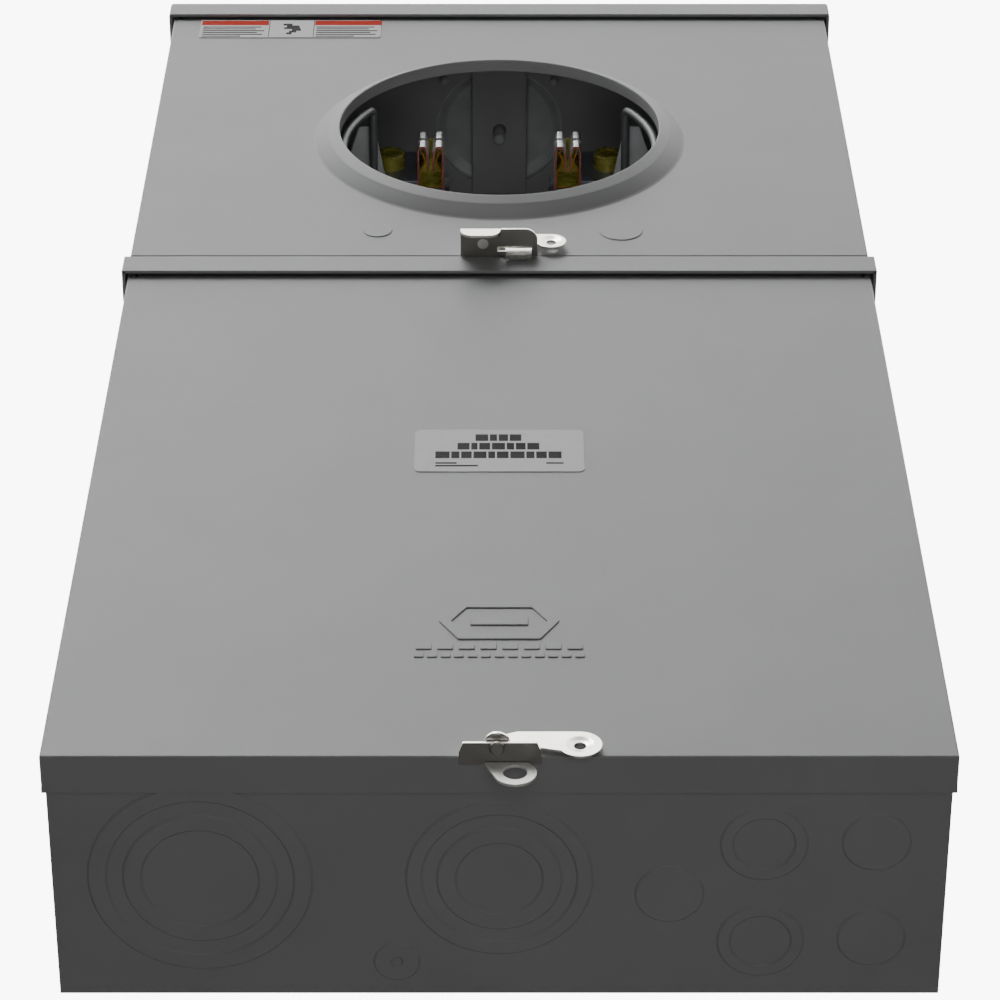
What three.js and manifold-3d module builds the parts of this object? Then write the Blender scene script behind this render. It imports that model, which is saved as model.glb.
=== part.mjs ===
// Ringless meter socket enclosure with a main breaker compartment.
// Millimetres, +Z up, +X to the right, the front faces -Y and the back rests on the wall at Y = 0.
// Inside the group, Z = 0 is the bottom edge of the lower cover. The group is lowered by half the
// height, so that the part's origin is the middle of the back face.
import * as THREE from 'three';
import { mergeVertices } from 'three/addons/utils/BufferGeometryUtils.js';
import Module from 'manifold-3d';

const wasm = await Module();
wasm.setup();

// ---- Driving dimensions ----
const HEIGHT = 738;
const DEPTH = 118;
const COVER_WIDTH = 362;
const BODY_WIDTH = 359;
const SHEET = 1.8;
const COVER_SHEET = 1.2;
const GAP = 0.3;

const SEAM = 413.5;
const BAND_HEIGHT = 16;
const BAND_WIDTH = 368;
const PROUD = 3.3;
const HOOD_BOTTOM = 722;
const HOOD_PROUD = 3;
const WRAP = 17;
const COVER_FLANGE = 14.4;
const TONGUE = 9;
const TONGUE_WIDTH = 353;
const BAND_SHEET = 1.6;
const COVER_REACH = 17.4;
const UPPER_FLANGE = 4;
const CLIP = 0.5;

const OPENING_HEIGHT = 565;
const OPENING_RADIUS = 83;
const RIM_RADIUS = 90;
const CONE_RADIUS = 96.6;
const RING_RISE = 8;

const JAW_X = 36.6;
const JAW_RISE = 41.5;
const JAW_WIDTH = 19;
const JAW_SHEET = 1.2;
const JAW_TIP = 19;
const SPRING_SHEET = 0.7;
const BUS_FRONT = -60.2;
const BUS_BACK = -57;

const LUG_X = 59;
const LUG_RISE = 71;
const SET_SCREW_RADIUS = 7.8;
const SET_SCREW_TIP = 41;
const LUG_BAR = [44, 74];
const LUG_HALF = 19;
const WIRE_BORE = 9;

const HUB_DEPTH = 70;
const HUB_RADIUS = 36;
const HUB_SCREW_REACH = 31;
const HUB_SCREW_RADIUS = 2.2;
const HUB_BOLT_RADIUS = 3.2;
const HUB_PLATE = 1.6;
const STRAP_SIDE = 15.5;
const STRAP_CHAMFER = 4.5;
const STRAP_THICKNESS = 2.5;

const REST_RADIUS = 81.5;
const REST_SWEEP = THREE.MathUtils.degToRad(33.2);
const REST_WIRE = 2.2;
const BRACKET_SHEET = 1.5;

const BREAKER_TOP = 320;
const BREAKER_BOTTOM = 190;
const BREAKER_MIDDLE = (BREAKER_TOP + BREAKER_BOTTOM) / 2;
const BREAKER_SIDE = 50;
const BREAKER_FACE = -92;
const BREAKER_STEP = 8;
const HANDLE_SLOT = [9, 22];
const HANDLE_PIVOT = [0, -76, BREAKER_MIDDLE];
const HANDLE_TILT = THREE.MathUtils.degToRad(-20);
const PAN_SIDE = 115;
const PAN_FRONT = -28;
const PAN_SHEET = 1.6;
const DEAD_FRONT_SIDE = 105;
const DEAD_FRONT_FACE = -98;

const NEUTRAL_X = -147;
const NEUTRAL_SCREWS = [72, 115, 158];
const NEUTRAL_FRONT = -52;
const GROUND_X = 140;

const LATCH_SHEET = 1.3;
const PIN_RADIUS = 1.7;
const PIN_BORE = 2;
const PADLOCK_HOLE = 2.5;

const DISC_HEIGHT = 456;
const DISC_PROUD = 0.5;
const GROOVE = 1.4;
const KNOCKOUTS = [
  { x: -120, depth: 60, rings: [45, 37.7, 30.9, 23.6] },
  { x: 0, depth: 60, rings: [37.4, 31.3, 25, 17.5] },
  { x: 68.4, depth: 67.5, rings: [13.7] },
  { x: 105.7, depth: 43, rings: [17.4, 12.4] },
  { x: 105.7, depth: 91, rings: [17.4, 12.4] },
  { x: 150.5, depth: 42, rings: [13.6] },
  { x: 150.5, depth: 89.5, rings: [13.6] },
  { x: -41.6, depth: 101.5, rings: [9.2] },
];

// ---- Planes and heights that follow from them ----
const LOWER_FACE = -DEPTH;
const UPPER_FACE = -(DEPTH + PROUD);
const HOOD_FACE = UPPER_FACE - HOOD_PROUD;
const BODY_FRONT = LOWER_FACE + COVER_SHEET + GAP;
const BODY_SIDE = BODY_WIDTH / 2;
const INNER_SIDE = BODY_SIDE - SHEET;
const COVER_SIDE = COVER_WIDTH / 2;
const BAND_SIDE = BAND_WIDTH / 2;
const BAND_TOP = SEAM + BAND_HEIGHT;
const UPPER_BOTTOM = BAND_TOP + GAP;
const FLOOR_BOTTOM = COVER_SHEET + GAP;
const FLOOR_TOP = FLOOR_BOTTOM + SHEET;
const CEILING = HEIGHT - SHEET;
const WALL = -SHEET;

// ---- Finishes ----
const paint = new THREE.MeshStandardMaterial({ color: 0xa3a4a4, roughness: 0.5, metalness: 0.0 });
const stainless = new THREE.MeshStandardMaterial({ color: 0xd8d6d0, roughness: 0.22, metalness: 1 });
const zinc = new THREE.MeshStandardMaterial({ color: 0x9fa2a3, roughness: 0.4, metalness: 1 });
const yellowZinc = new THREE.MeshStandardMaterial({ color: 0x8a8a3a, roughness: 0.35, metalness: 1 });
const tinned = new THREE.MeshStandardMaterial({ color: 0xd2d3d3, roughness: 0.3, metalness: 1 });
const aluminium = new THREE.MeshStandardMaterial({ color: 0x8d919b, roughness: 0.42, metalness: 1 });
const insulator = new THREE.MeshStandardMaterial({ color: 0x565a59, roughness: 0.6, metalness: 0 });
const phenolic = new THREE.MeshStandardMaterial({ color: 0x232323, roughness: 0.45, metalness: 0 });
const label = new THREE.MeshStandardMaterial({ color: 0xc4c5c4, roughness: 0.4, metalness: 0 });

const enclosure = new THREE.Group();
enclosure.position.z = -HEIGHT / 2;

// ---- Shape helpers ----

/** Turns a geometry into a solid that can be cut and joined. */
function solid(geometry) {
  geometry.deleteAttribute('normal');
  geometry.deleteAttribute('uv');
  const merged = mergeVertices(geometry, 1e-4);
  const corners = [];
  for (let i = 0; i < merged.index.count; i += 3) {
    const [a, b, c] = [0, 1, 2].map((k) => merged.index.getX(i + k));
    if (a !== b && b !== c && c !== a) corners.push(a, b, c);
  }
  return new wasm.Manifold(new wasm.Mesh({
    numProp: 3,
    vertProperties: new Float32Array(merged.attributes.position.array),
    triVerts: new Uint32Array(corners),
  }));
}

/** A rectangular block between two limits along each axis. */
function block([x0, x1], [y0, y1], [z0, z1]) {
  const geometry = new THREE.BoxGeometry(x1 - x0, y1 - y0, z1 - z0);
  return solid(geometry.translate((x0 + x1) / 2, (y0 + y1) / 2, (z0 + z1) / 2));
}

/** Right-handed frames that lay a drawn outline (u, v) across the named axis. */
const LAY = {
  x: [new THREE.Vector3(0, 1, 0), new THREE.Vector3(0, 0, 1), new THREE.Vector3(1, 0, 0)],
  y: [new THREE.Vector3(1, 0, 0), new THREE.Vector3(0, 0, 1), new THREE.Vector3(0, -1, 0)],
  z: [new THREE.Vector3(1, 0, 0), new THREE.Vector3(0, 1, 0), new THREE.Vector3(0, 0, 1)],
};

/** Extrudes an outline along an axis, between two limits on that axis. */
function prism(outline, axis, [low, high], curveSegments = 8) {
  const depth = high - low;
  const geometry = new THREE.ExtrudeGeometry(outline, { depth, bevelEnabled: false, curveSegments });
  const frame = new THREE.Matrix4().makeBasis(...LAY[axis]);
  const start = axis === 'y' ? high : low;
  frame.setPosition(axis === 'x' ? start : 0, axis === 'y' ? start : 0, axis === 'z' ? start : 0);
  return solid(geometry.applyMatrix4(frame));
}

/** A round bar along an axis; centre is its place in the other two axes, in x, y, z order. */
function rod(axis, radius, [low, high], [u, v], sides = 24, endRadius = radius) {
  const geometry = new THREE.CylinderGeometry(endRadius, radius, high - low, sides);
  const middle = (low + high) / 2;
  if (axis === 'x') geometry.rotateZ(-Math.PI / 2).translate(middle, u, v);
  if (axis === 'y') geometry.translate(u, middle, v);
  if (axis === 'z') geometry.rotateX(Math.PI / 2).translate(u, v, middle);
  return solid(geometry);
}

/** Turns a profile of [radius, height] points about a front-facing axis, height towards the front. */
function turnedToFront(profile, x, face, z, sides) {
  const geometry = new THREE.LatheGeometry(profile.map(([r, h]) => new THREE.Vector2(r, h)), sides);
  return solid(geometry.rotateX(Math.PI).translate(x, face, z));
}

/** A shallow round groove in the underside of a plate. */
function groove(x, y, radius, underside) {
  const profile = [[radius - GROOVE / 2, -1], [radius + GROOVE / 2, -1], [radius + GROOVE / 2, 0.6],
    [radius - GROOVE / 2, 0.6], [radius - GROOVE / 2, -1]];
  const sides = radius > 15 ? 20 : 14;
  const geometry = new THREE.LatheGeometry(profile.map(([r, h]) => new THREE.Vector2(r, h)), sides);
  return solid(geometry.rotateX(Math.PI / 2).translate(x, y, underside));
}

/** A rectangle with rounded corners, centred on (u, v). */
function roundedRectangle(width, height, radius, u = 0, v = 0) {
  const [w, h] = [width / 2, height / 2];
  const outline = new THREE.Shape();
  outline.absarc(u + w - radius, v - h + radius, radius, -Math.PI / 2, 0);
  outline.absarc(u + w - radius, v + h - radius, radius, 0, Math.PI / 2);
  outline.absarc(u - w + radius, v + h - radius, radius, Math.PI / 2, Math.PI);
  outline.absarc(u - w + radius, v - h + radius, radius, Math.PI, Math.PI * 1.5);
  return outline;
}

/** The outline of a sheet strip of even thickness that follows a bent middle line. */
function bentStrip(line, thickness) {
  const points = line.map(([u, v]) => new THREE.Vector2(u, v));
  const sides = points.map((point, i) => {
    const into = point.clone().sub(points[Math.max(i - 1, 0)]).normalize();
    const out = points[Math.min(i + 1, points.length - 1)].clone().sub(point).normalize();
    const along = into.add(out).normalize();
    const lean = i > 0 && i < points.length - 1 ? along.dot(out) : 1;
    return new THREE.Vector2(-along.y, along.x).multiplyScalar(thickness / 2 / lean);
  });
  const left = points.map((point, i) => point.clone().add(sides[i]));
  const right = points.map((point, i) => point.clone().sub(sides[i]));
  return new THREE.Shape([...left, ...right.reverse()]);
}

/** Joins several solids into one. */
function join(first, ...others) {
  return others.reduce((whole, piece) => whole.add(piece), first);
}

/** Cuts several solids out of one. */
function cut(first, ...others) {
  return others.reduce((whole, piece) => whole.subtract(piece), first);
}

/** Adds a finished solid to the enclosure as a named mesh. */
function piece(name, body, material, placement = {}) {
  const { vertProperties, triVerts } = body.getMesh();
  const geometry = new THREE.BufferGeometry();
  geometry.setAttribute('position', new THREE.BufferAttribute(vertProperties, 3));
  geometry.setIndex(new THREE.BufferAttribute(triVerts, 1));
  geometry.computeVertexNormals();
  const mesh = new THREE.Mesh(geometry, material);
  mesh.name = name;
  if (placement.position) mesh.position.set(...placement.position);
  if (placement.tilt) mesh.rotation.x = placement.tilt;
  enclosure.add(mesh);
}

/** Runs a maker for the left (-1) and the right (+1) side. */
function onBothSides(maker) {
  for (const [name, side] of [['left', -1], ['right', 1]]) maker(name, side);
}

/** Two limits on one side of the middle plane, in rising order. */
function sided(side, near, far) {
  return side > 0 ? [near, far] : [-far, -near];
}

/** Limits that reach equally far to both sides of a centre. */
function about(reach, centre = 0) {
  return [centre - reach, centre + reach];
}

// ---- Sheet-metal shell ----

/** Back and two sides, folded from one sheet. */
function bodyWrapper() {
  const heights = [FLOOR_TOP + GAP, CEILING - GAP];
  const back = block(about(BODY_SIDE), [WALL, 0], heights);
  const left = block([-BODY_SIDE, -INNER_SIDE], [BODY_FRONT, 0], heights);
  const right = block([INNER_SIDE, BODY_SIDE], [BODY_FRONT, 0], heights);
  piece('body_wrapper', join(back, left, right), paint);
}

/** Top plate with the rain hood that laps over the meter cover, and the hub opening. */
function topEndwall() {
  const plate = block(about(BODY_SIDE), [HOOD_FACE + 1, 0], [CEILING, HEIGHT]);
  const brim = block(about(BAND_SIDE), [HOOD_FACE, HOOD_FACE + WRAP], [CEILING, HEIGHT]);
  const lip = block(about(BAND_SIDE), [HOOD_FACE, HOOD_FACE + BAND_SHEET], [HOOD_BOTTOM, HEIGHT]);
  const flaps = [-1, 1].map((side) => block(
    sided(side, BAND_SIDE - BAND_SHEET, BAND_SIDE), [HOOD_FACE, HOOD_FACE + WRAP], [HOOD_BOTTOM, HEIGHT],
  ));
  const tabs = [-1, 1].map((side) => block(
    sided(side, INNER_SIDE - GAP - SHEET, INNER_SIDE - GAP), [-100, -12], [CEILING - 12, HEIGHT - 1],
  ));
  const hubY = LOWER_FACE + HUB_DEPTH;
  const hubHole = rod('z', HUB_RADIUS, [CEILING - 1, HEIGHT + 1], [0, hubY], 36);
  const through = [CEILING - 1, HEIGHT + 1];
  const screwHoles = hubCorners().map(([x, y]) => rod('z', HUB_SCREW_RADIUS + GAP, through, [x, y], 12));
  piece('top_endwall', cut(join(plate, brim, lip, ...flaps, ...tabs), hubHole, ...screwHoles), paint);
}

/** The four screw places around the hub opening. */
function hubCorners() {
  const y = LOWER_FACE + HUB_DEPTH;
  const r = HUB_SCREW_REACH;
  return [[-r, y - r], [r, y - r], [r, y + r], [-r, y + r]];
}

/** Bottom plate with its partly punched knockouts. */
function bottomEndwall() {
  const plate = block(about(BODY_SIDE), [BODY_FRONT, 0], [FLOOR_BOTTOM, FLOOR_TOP]);
  const tabs = [-1, 1].map((side) => block(
    sided(side, INNER_SIDE - GAP - SHEET, INNER_SIDE - GAP), [-100, -12], [FLOOR_TOP - 1, FLOOR_TOP + 12],
  ));
  const grooves = KNOCKOUTS.flatMap(({ x, depth, rings }) => rings.map(
    (radius) => groove(x, LOWER_FACE + depth, radius, FLOOR_BOTTOM),
  ));
  piece('bottom_endwall', cut(join(plate, ...tabs), ...grooves), paint);
}

/** Band between the covers: its web laps over the lower cover and its ends wrap the sides. */
function midRail() {
  const heights = [SEAM, BAND_TOP];
  const web = block(about(BAND_SIDE), [UPPER_FACE, UPPER_FACE + BAND_SHEET], heights);
  const ears = [-1, 1].map((side) => block(
    sided(side, BAND_SIDE - BAND_SHEET, BAND_SIDE), [UPPER_FACE, UPPER_FACE + WRAP], heights,
  ));
  const top = [BAND_TOP - BAND_SHEET, BAND_TOP];
  const shelf = block(about(BAND_SIDE), [UPPER_FACE, BODY_FRONT - GAP], top);
  const tray = block(about(INNER_SIDE - GAP), [BODY_FRONT - 1, LOWER_FACE + 20], top);
  piece('mid_rail', join(web, ...ears, shelf, tray), paint);
}

/** Face, side flanges and hanging tongue that both covers share. */
function coverPan(face, bottom, top, flangeDepth) {
  const back = face + COVER_SHEET;
  const plate = block(about(COVER_SIDE), [face, back], [bottom, top]);
  const sides = [-1, 1].map((side) => block(
    sided(side, COVER_SIDE - COVER_SHEET, COVER_SIDE), [face, face + COVER_REACH], [bottom, top],
  ));
  const flange = block(about(COVER_SIDE), [face, face + flangeDepth], [bottom, bottom + COVER_SHEET]);
  const tongue = block(about(TONGUE_WIDTH / 2), [face, back], [top - 1, top + TONGUE]);
  return join(plate, ...sides, flange, tongue);
}

/** Upper cover with the raised ring around the meter opening and two small embossed discs. */
function meterCover() {
  const pan = coverPan(UPPER_FACE, UPPER_BOTTOM, HOOD_BOTTOM - CLIP, UPPER_FLANGE);
  const t = COVER_SHEET;
  const ring = turnedToFront([
    [CONE_RADIUS + 1, -t], [CONE_RADIUS + 1, 0], [CONE_RADIUS, 0], [RIM_RADIUS, RING_RISE - 1.5],
    [RIM_RADIUS - 1.4, RING_RISE], [OPENING_RADIUS + 1.6, RING_RISE], [OPENING_RADIUS, RING_RISE - 1.6],
    [OPENING_RADIUS, 1.5], [OPENING_RADIUS + t, 1.5], [OPENING_RADIUS + t, RING_RISE - t],
    [RIM_RADIUS - t - 0.6, RING_RISE - t - 0.3], [CONE_RADIUS - t, -t], [CONE_RADIUS + 1, -t],
  ], 0, UPPER_FACE, OPENING_HEIGHT, 72);
  const bore = rod('y', CONE_RADIUS - t / 2, [UPPER_FACE - 1, UPPER_FACE + 5], [0, OPENING_HEIGHT], 72);
  const discs = [[-60.4, 7.3], [60.4, 11]].map(([x, radius]) => rod(
    'y', radius, [UPPER_FACE - DISC_PROUD, UPPER_FACE + DISC_PROUD], [x, DISC_HEIGHT], 24,
  ));
  piece('meter_cover', join(cut(pan, bore), ring, ...discs), paint);
}

/** Lower cover over the main breaker. */
function breakerCover() {
  const pan = coverPan(LOWER_FACE, 0, SEAM - CLIP, COVER_FLANGE);
  piece('breaker_cover', pan, paint);
}

// ---- Hub closing plate on the top ----

/** Plate, clamping strap, centre bolt and corner screws that close the hub opening. */
function hubClosure() {
  const y = LOWER_FACE + HUB_DEPTH;
  const top = HEIGHT + GAP;
  const plateTop = top + HUB_PLATE;
  const dishTop = plateTop + 1.2;
  const through = [top - 1, dishTop + 1];
  const dish = rod('z', HUB_RADIUS - 1, [top, dishTop], [0, y], 36);
  const square = prism(roundedRectangle(84, 84, 8, 0, y), 'z', [top, plateTop]);
  const screwHole = HUB_SCREW_RADIUS + GAP;
  const holes = hubCorners().map(([x, cornerY]) => rod('z', screwHole, through, [x, cornerY], 12));
  const boltHole = rod('z', HUB_BOLT_RADIUS + GAP, through, [0, y], 16);
  piece('hub_closing_plate', cut(join(square, dish), boltHole, ...holes), zinc);

  const under = CEILING - GAP;
  const chamferX = STRAP_SIDE - STRAP_CHAMFER;
  const [front, back] = [y - 46, y + 40];
  const strap = new THREE.Shape([
    [-chamferX, front], [chamferX, front], [STRAP_SIDE, front + STRAP_CHAMFER], [STRAP_SIDE, back],
    [-STRAP_SIDE, back], [-STRAP_SIDE, front + STRAP_CHAMFER],
  ].map(([u, v]) => new THREE.Vector2(u, v)));
  const strapBody = prism(strap, 'z', [under - STRAP_THICKNESS, under]);
  const tapping = rod('z', HUB_BOLT_RADIUS + GAP, [under - 4, under + 1], [0, y], 16);
  piece('hub_strap', cut(strapBody, tapping), zinc);

  const shank = rod('z', HUB_BOLT_RADIUS, [under - 15.5, top + 5], [0, y], 16);
  const head = rod('z', 6.5, [dishTop + GAP, dishTop + 4.5], [0, y], 6);
  piece('hub_bolt', join(shank, head), zinc);

  hubCorners().forEach(([x, cornerY], i) => {
    const thread = rod('z', HUB_SCREW_RADIUS, [CEILING - 6, plateTop + 1], [x, cornerY], 12);
    const pan = rod('z', 4.2, [plateTop + GAP, plateTop + 2.6], [x, cornerY], 16, 3.2);
    piece(`hub_screw_${i + 1}`, join(thread, pan), zinc);
  });
}

// ---- Meter socket ----

/** Moulded block that carries a line jaw and a load jaw on one side. */
function jawBlock(name, side) {
  const bottom = OPENING_HEIGHT - 65;
  const top = OPENING_HEIGHT + LUG_RISE - 19.5;
  const back = WALL - GAP;
  const body = block(sided(side, 24, 56), [BUS_BACK + GAP, back], [bottom, top]);
  const step = block(sided(side, 18, 25), [-46, back], [bottom + 6, top - 6]);
  const barrier = block(sided(side, 22, 26), [-74, -40], [bottom + 30, top - 30]);
  piece(`jaw_block_${name}`, join(body, step, barrier), insulator);
}

/** Spring jaw for one meter blade: outer legs, rolled tips and inner leaves that meet in the middle. */
function jaw(name, x, z) {
  const tip = UPPER_FACE + JAW_TIP + JAW_SHEET / 2;
  const base = BUS_FRONT - GAP - JAW_SHEET / 2;
  const half = [
    [0.95, tip + 15], [0.95, tip + 6.5], [2.9, tip + 2.8], [3.4, tip + 1.2], [4.3, tip + 0.3],
    [5.5, tip], [6.6, tip + 0.7], [7.1, tip + 2], [7.1, base],
  ];
  const mirrored = half.map(([u, v]) => [-u, v]).reverse();
  const outline = bentStrip([...half, ...mirrored], JAW_SHEET);
  const heights = about(JAW_WIDTH / 2);
  const slit = block(about(9), [tip - 3, tip + 9], about(0.8));
  const body = cut(prism(outline, 'z', heights), slit);
  piece(`jaw_${name}`, body, tinned, { position: [x, 0, z] });

  const [root, low, high] = [tip + 24, -JAW_WIDTH / 2 + 1, JAW_WIDTH / 2 + 1];
  const leg = [[4.4, tip + 3.8], [2.4, tip + 8.4], [2.8, tip + 11], [5.6, tip + 16], [5.6, root]];
  const otherLeg = leg.map(([u, v]) => [-u, v]).reverse();
  const clip = prism(bentStrip([...leg, ...otherLeg], SPRING_SHEET), 'z', [low, high]);
  const lid = block(about(5.6), [tip + 4.5, root], [high - SPRING_SHEET, high]);
  piece(`jaw_spring_${name}`, join(clip, lid), yellowZinc, { position: [x, 0, z] });
}

/** Line lug with its bus tongue, and the big hex-socket set screw. */
function lineLug(name, side) {
  const z = OPENING_HEIGHT + LUG_RISE;
  const screwTip = UPPER_FACE + SET_SCREW_TIP;
  const lugFront = screwTip + 8.5;
  const x = side * LUG_X;
  const bar = block(sided(side, ...LUG_BAR), [lugFront, -38], about(LUG_HALF, z));
  const jawHeight = OPENING_HEIGHT + JAW_RISE;
  const tongue = block(sided(side, JAW_X - 9.6, 52), [BUS_FRONT, BUS_BACK], [jawHeight - 9.5, z + 10]);
  const wireBore = rod('z', WIRE_BORE, about(LUG_HALF + 1, z), [x, -50], 24);
  const screwHole = rod('y', SET_SCREW_RADIUS + GAP, [lugFront - 1, -50], [x, z], 24);
  piece(`line_lug_${name}`, cut(join(bar, tongue), wireBore, screwHole), aluminium);

  const screw = rod('y', SET_SCREW_RADIUS, [screwTip, -54], [x, z], 24);
  const socket = rod('y', 4.4, [screwTip - 1, screwTip + 6], [x, z], 6);
  piece(`line_set_screw_${name}`, cut(screw, socket), yellowZinc);
}

/** Flat bar from the load jaw down to the breaker's line terminal. */
function loadBus(name, side) {
  const top = OPENING_HEIGHT - JAW_RISE + JAW_WIDTH / 2;
  const bar = block(sided(side, JAW_X - 9.6, JAW_X + 9.6), [BUS_FRONT, BUS_BACK], [BREAKER_TOP + GAP, top]);
  piece(`load_bus_${name}`, bar, tinned);
}

/** Wire bail that the meter's rim rests on: two posts and an arc around the opening. */
function meterRest(name, side) {
  const front = UPPER_FACE + 4.4;
  const rear = -44;
  const steps = 10;
  const points = [];
  for (const end of [-1, 1]) {
    const row = [];
    for (let i = 0; i <= steps / 2; i += 1) {
      const turn = end * REST_SWEEP * (1 - (2 * i) / steps);
      row.push([REST_RADIUS * Math.cos(turn), front, REST_RADIUS * Math.sin(turn)]);
    }
    const post = [row[0][0], row[0][2]];
    const bend = [[post[0], rear, post[1]], [post[0], front + 30, post[1]], [post[0], front + 4, post[1]]];
    const run = [...bend, ...row.slice(1)];
    points.push(...(end < 0 ? run : run.reverse().slice(1)));
  }
  const path = new THREE.CatmullRomCurve3(points.map(([x, y, z]) => new THREE.Vector3(side * x, y, z)));
  path.curveType = 'centripetal';
  const wire = new THREE.Shape();
  wire.absarc(0, 0, REST_WIRE, 0, Math.PI * 2);
  const options = { extrudePath: path, steps: 36, bevelEnabled: false, curveSegments: 4 };
  const body = solid(new THREE.ExtrudeGeometry(wire, options));
  piece(`meter_rest_${name}`, body, zinc, { position: [0, 0, OPENING_HEIGHT] });
}

/** Folded bracket with two gussets that holds the posts of the wire bail. */
function restBracket(name, side) {
  const inner = REST_RADIUS * Math.sin(REST_SWEEP) + REST_WIRE + 1.2;
  const outer = inner + BRACKET_SHEET;
  const gusset = new THREE.Shape([
    [75, -106], [67, -106], [60, -70], [60, -36], [86, -36], [86, -72],
  ].map(([u, v]) => new THREE.Vector2(side * u, v)));
  const upper = prism(gusset, 'z', [OPENING_HEIGHT + inner, OPENING_HEIGHT + outer]);
  const lower = prism(gusset, 'z', [OPENING_HEIGHT - outer, OPENING_HEIGHT - inner]);
  const back = WALL - GAP;
  const heights = about(outer, OPENING_HEIGHT);
  const web = block(sided(side, 86 - BRACKET_SHEET, 86), [-72, back], heights);
  const foot = block(sided(side, 85, 102), [back - BRACKET_SHEET, back], heights);
  piece(`rest_bracket_${name}`, join(web, foot, upper, lower), zinc);
}

// ---- Main breaker compartment ----

/** Raised steel pan that the breaker is bolted to. */
function breakerPan() {
  const heights = [140, 385];
  const back = WALL - GAP;
  const inner = PAN_SIDE - PAN_SHEET;
  const deck = block(about(PAN_SIDE), [PAN_FRONT, PAN_FRONT + PAN_SHEET], heights);
  const legs = [-1, 1].map((side) => block(sided(side, inner, PAN_SIDE), [PAN_FRONT, back], heights));
  const feet = [-1, 1].map((side) => block(
    sided(side, inner, PAN_SIDE + 11), [back - PAN_SHEET, back], heights,
  ));
  piece('breaker_pan', join(deck, ...legs, ...feet), zinc);
}

/** Two-pole moulded breaker case with a raised front and the slot for its handle. */
function breaker() {
  const shellFront = BREAKER_FACE + BREAKER_STEP;
  const height = BREAKER_TOP - BREAKER_BOTTOM;
  const shellOutline = roundedRectangle(2 * BREAKER_SIDE, height, 3, 0, BREAKER_MIDDLE);
  const shell = prism(shellOutline, 'y', [shellFront, PAN_FRONT - GAP], 4);
  const raisedOutline = roundedRectangle(2 * BREAKER_SIDE - BREAKER_STEP, 66, 3, 0, BREAKER_MIDDLE);
  const raised = prism(raisedOutline, 'y', [BREAKER_FACE, shellFront + 1], 4);
  const [slotSide, slotReach] = HANDLE_SLOT;
  const slot = block(about(slotSide), [BREAKER_FACE - 1, -64], about(slotReach, BREAKER_MIDDLE));
  const parting = block(about(0.6), [BREAKER_FACE - 1, shellFront + 1.5],
    [BREAKER_MIDDLE + slotReach, BREAKER_TOP + 1]);
  piece('breaker_case', cut(join(shell, raised), slot, parting), phenolic);

  const lever = prism(new THREE.Shape([
    [8, -6], [-14, -6], [-31, -4.5], [-33, -2.5], [-33, 2.5], [-31, 4.5], [-14, 6], [8, 6],
  ].map(([u, v]) => new THREE.Vector2(u, v))), 'x', about(slotSide - 1.5));
  piece('breaker_handle', lever, phenolic, { position: HANDLE_PIVOT, tilt: HANDLE_TILT });
}

/** Load-side lugs under the breaker, with their set screws. */
function breakerLug(name, side) {
  const x = side * 27;
  const heights = [BREAKER_BOTTOM - 30, BREAKER_BOTTOM - GAP];
  const z = BREAKER_BOTTOM - 15;
  const screwRadius = 6;
  const bar = block(about(12, x), [-76, -46], heights);
  const bore = rod('z', 8, [heights[0] - 1, heights[1] + 1], [x, -57], 20);
  const hole = rod('y', screwRadius + GAP, [-77, -57], [x, z], 20);
  piece(`breaker_lug_${name}`, cut(bar, bore, hole), aluminium);
  const screw = rod('y', screwRadius, [-80, -60], [x, z], 20);
  piece(`breaker_lug_screw_${name}`, cut(screw, rod('y', 3.2, [-81, -75], [x, z], 6)), zinc);
}

/** Steel dead front around the breaker, standing on the pan. */
function deadFront() {
  const heights = [206, 372];
  const front = DEAD_FRONT_FACE;
  const plate = block(about(DEAD_FRONT_SIDE), [front, front + COVER_SHEET], heights);
  const sides = [-1, 1].map((side) => block(
    sided(side, DEAD_FRONT_SIDE - COVER_SHEET, DEAD_FRONT_SIDE), [front, PAN_FRONT - GAP], heights,
  ));
  const window = prism(roundedRectangle(96, 70, 4, 0, BREAKER_MIDDLE), 'y', [front - 1, front + 3], 4);
  piece('dead_front', cut(join(plate, ...sides), window), paint);
}

/** Neutral bar on its insulating foot, with three lug screws. */
function neutralBar() {
  const x = NEUTRAL_X;
  const footFront = -30;
  const boreY = -41;
  const screwRadius = 4.5;
  const foot = block(about(9, x), [footFront, WALL - GAP], [70, 160]);
  piece('neutral_foot', foot, insulator);
  const bar = block(about(11, x), [NEUTRAL_FRONT, footFront - GAP], [52, 178]);
  const bores = NEUTRAL_SCREWS.map((z) => rod('x', 5.5, about(14, x), [boreY, z], 16));
  const tapping = [NEUTRAL_FRONT - 1, boreY];
  const holes = NEUTRAL_SCREWS.map((z) => rod('y', screwRadius + GAP, tapping, [x, z], 16));
  piece('neutral_bar', cut(bar, ...bores, ...holes), aluminium);
  NEUTRAL_SCREWS.forEach((z, i) => {
    const screw = rod('y', screwRadius, [NEUTRAL_FRONT - 3, boreY - 2], [x, z], 16);
    const slotCut = block(about(0.7, x), [NEUTRAL_FRONT - 4, NEUTRAL_FRONT - 1.5], about(6, z));
    piece(`neutral_screw_${i + 1}`, cut(screw, slotCut), zinc);
  });
}

/** Grounding lug near the small knockout. */
function groundLug() {
  const foot = block(about(12, GROUND_X), [-4.5, WALL - GAP], [40, 74]);
  const bar = block(about(8, GROUND_X), [-18, -4], [40, 60]);
  const bore = rod('z', 4, [38, 62], [GROUND_X, -11], 16);
  piece('ground_lug', cut(join(foot, bar), bore), aluminium);
}

// ---- Stainless latches ----

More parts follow.
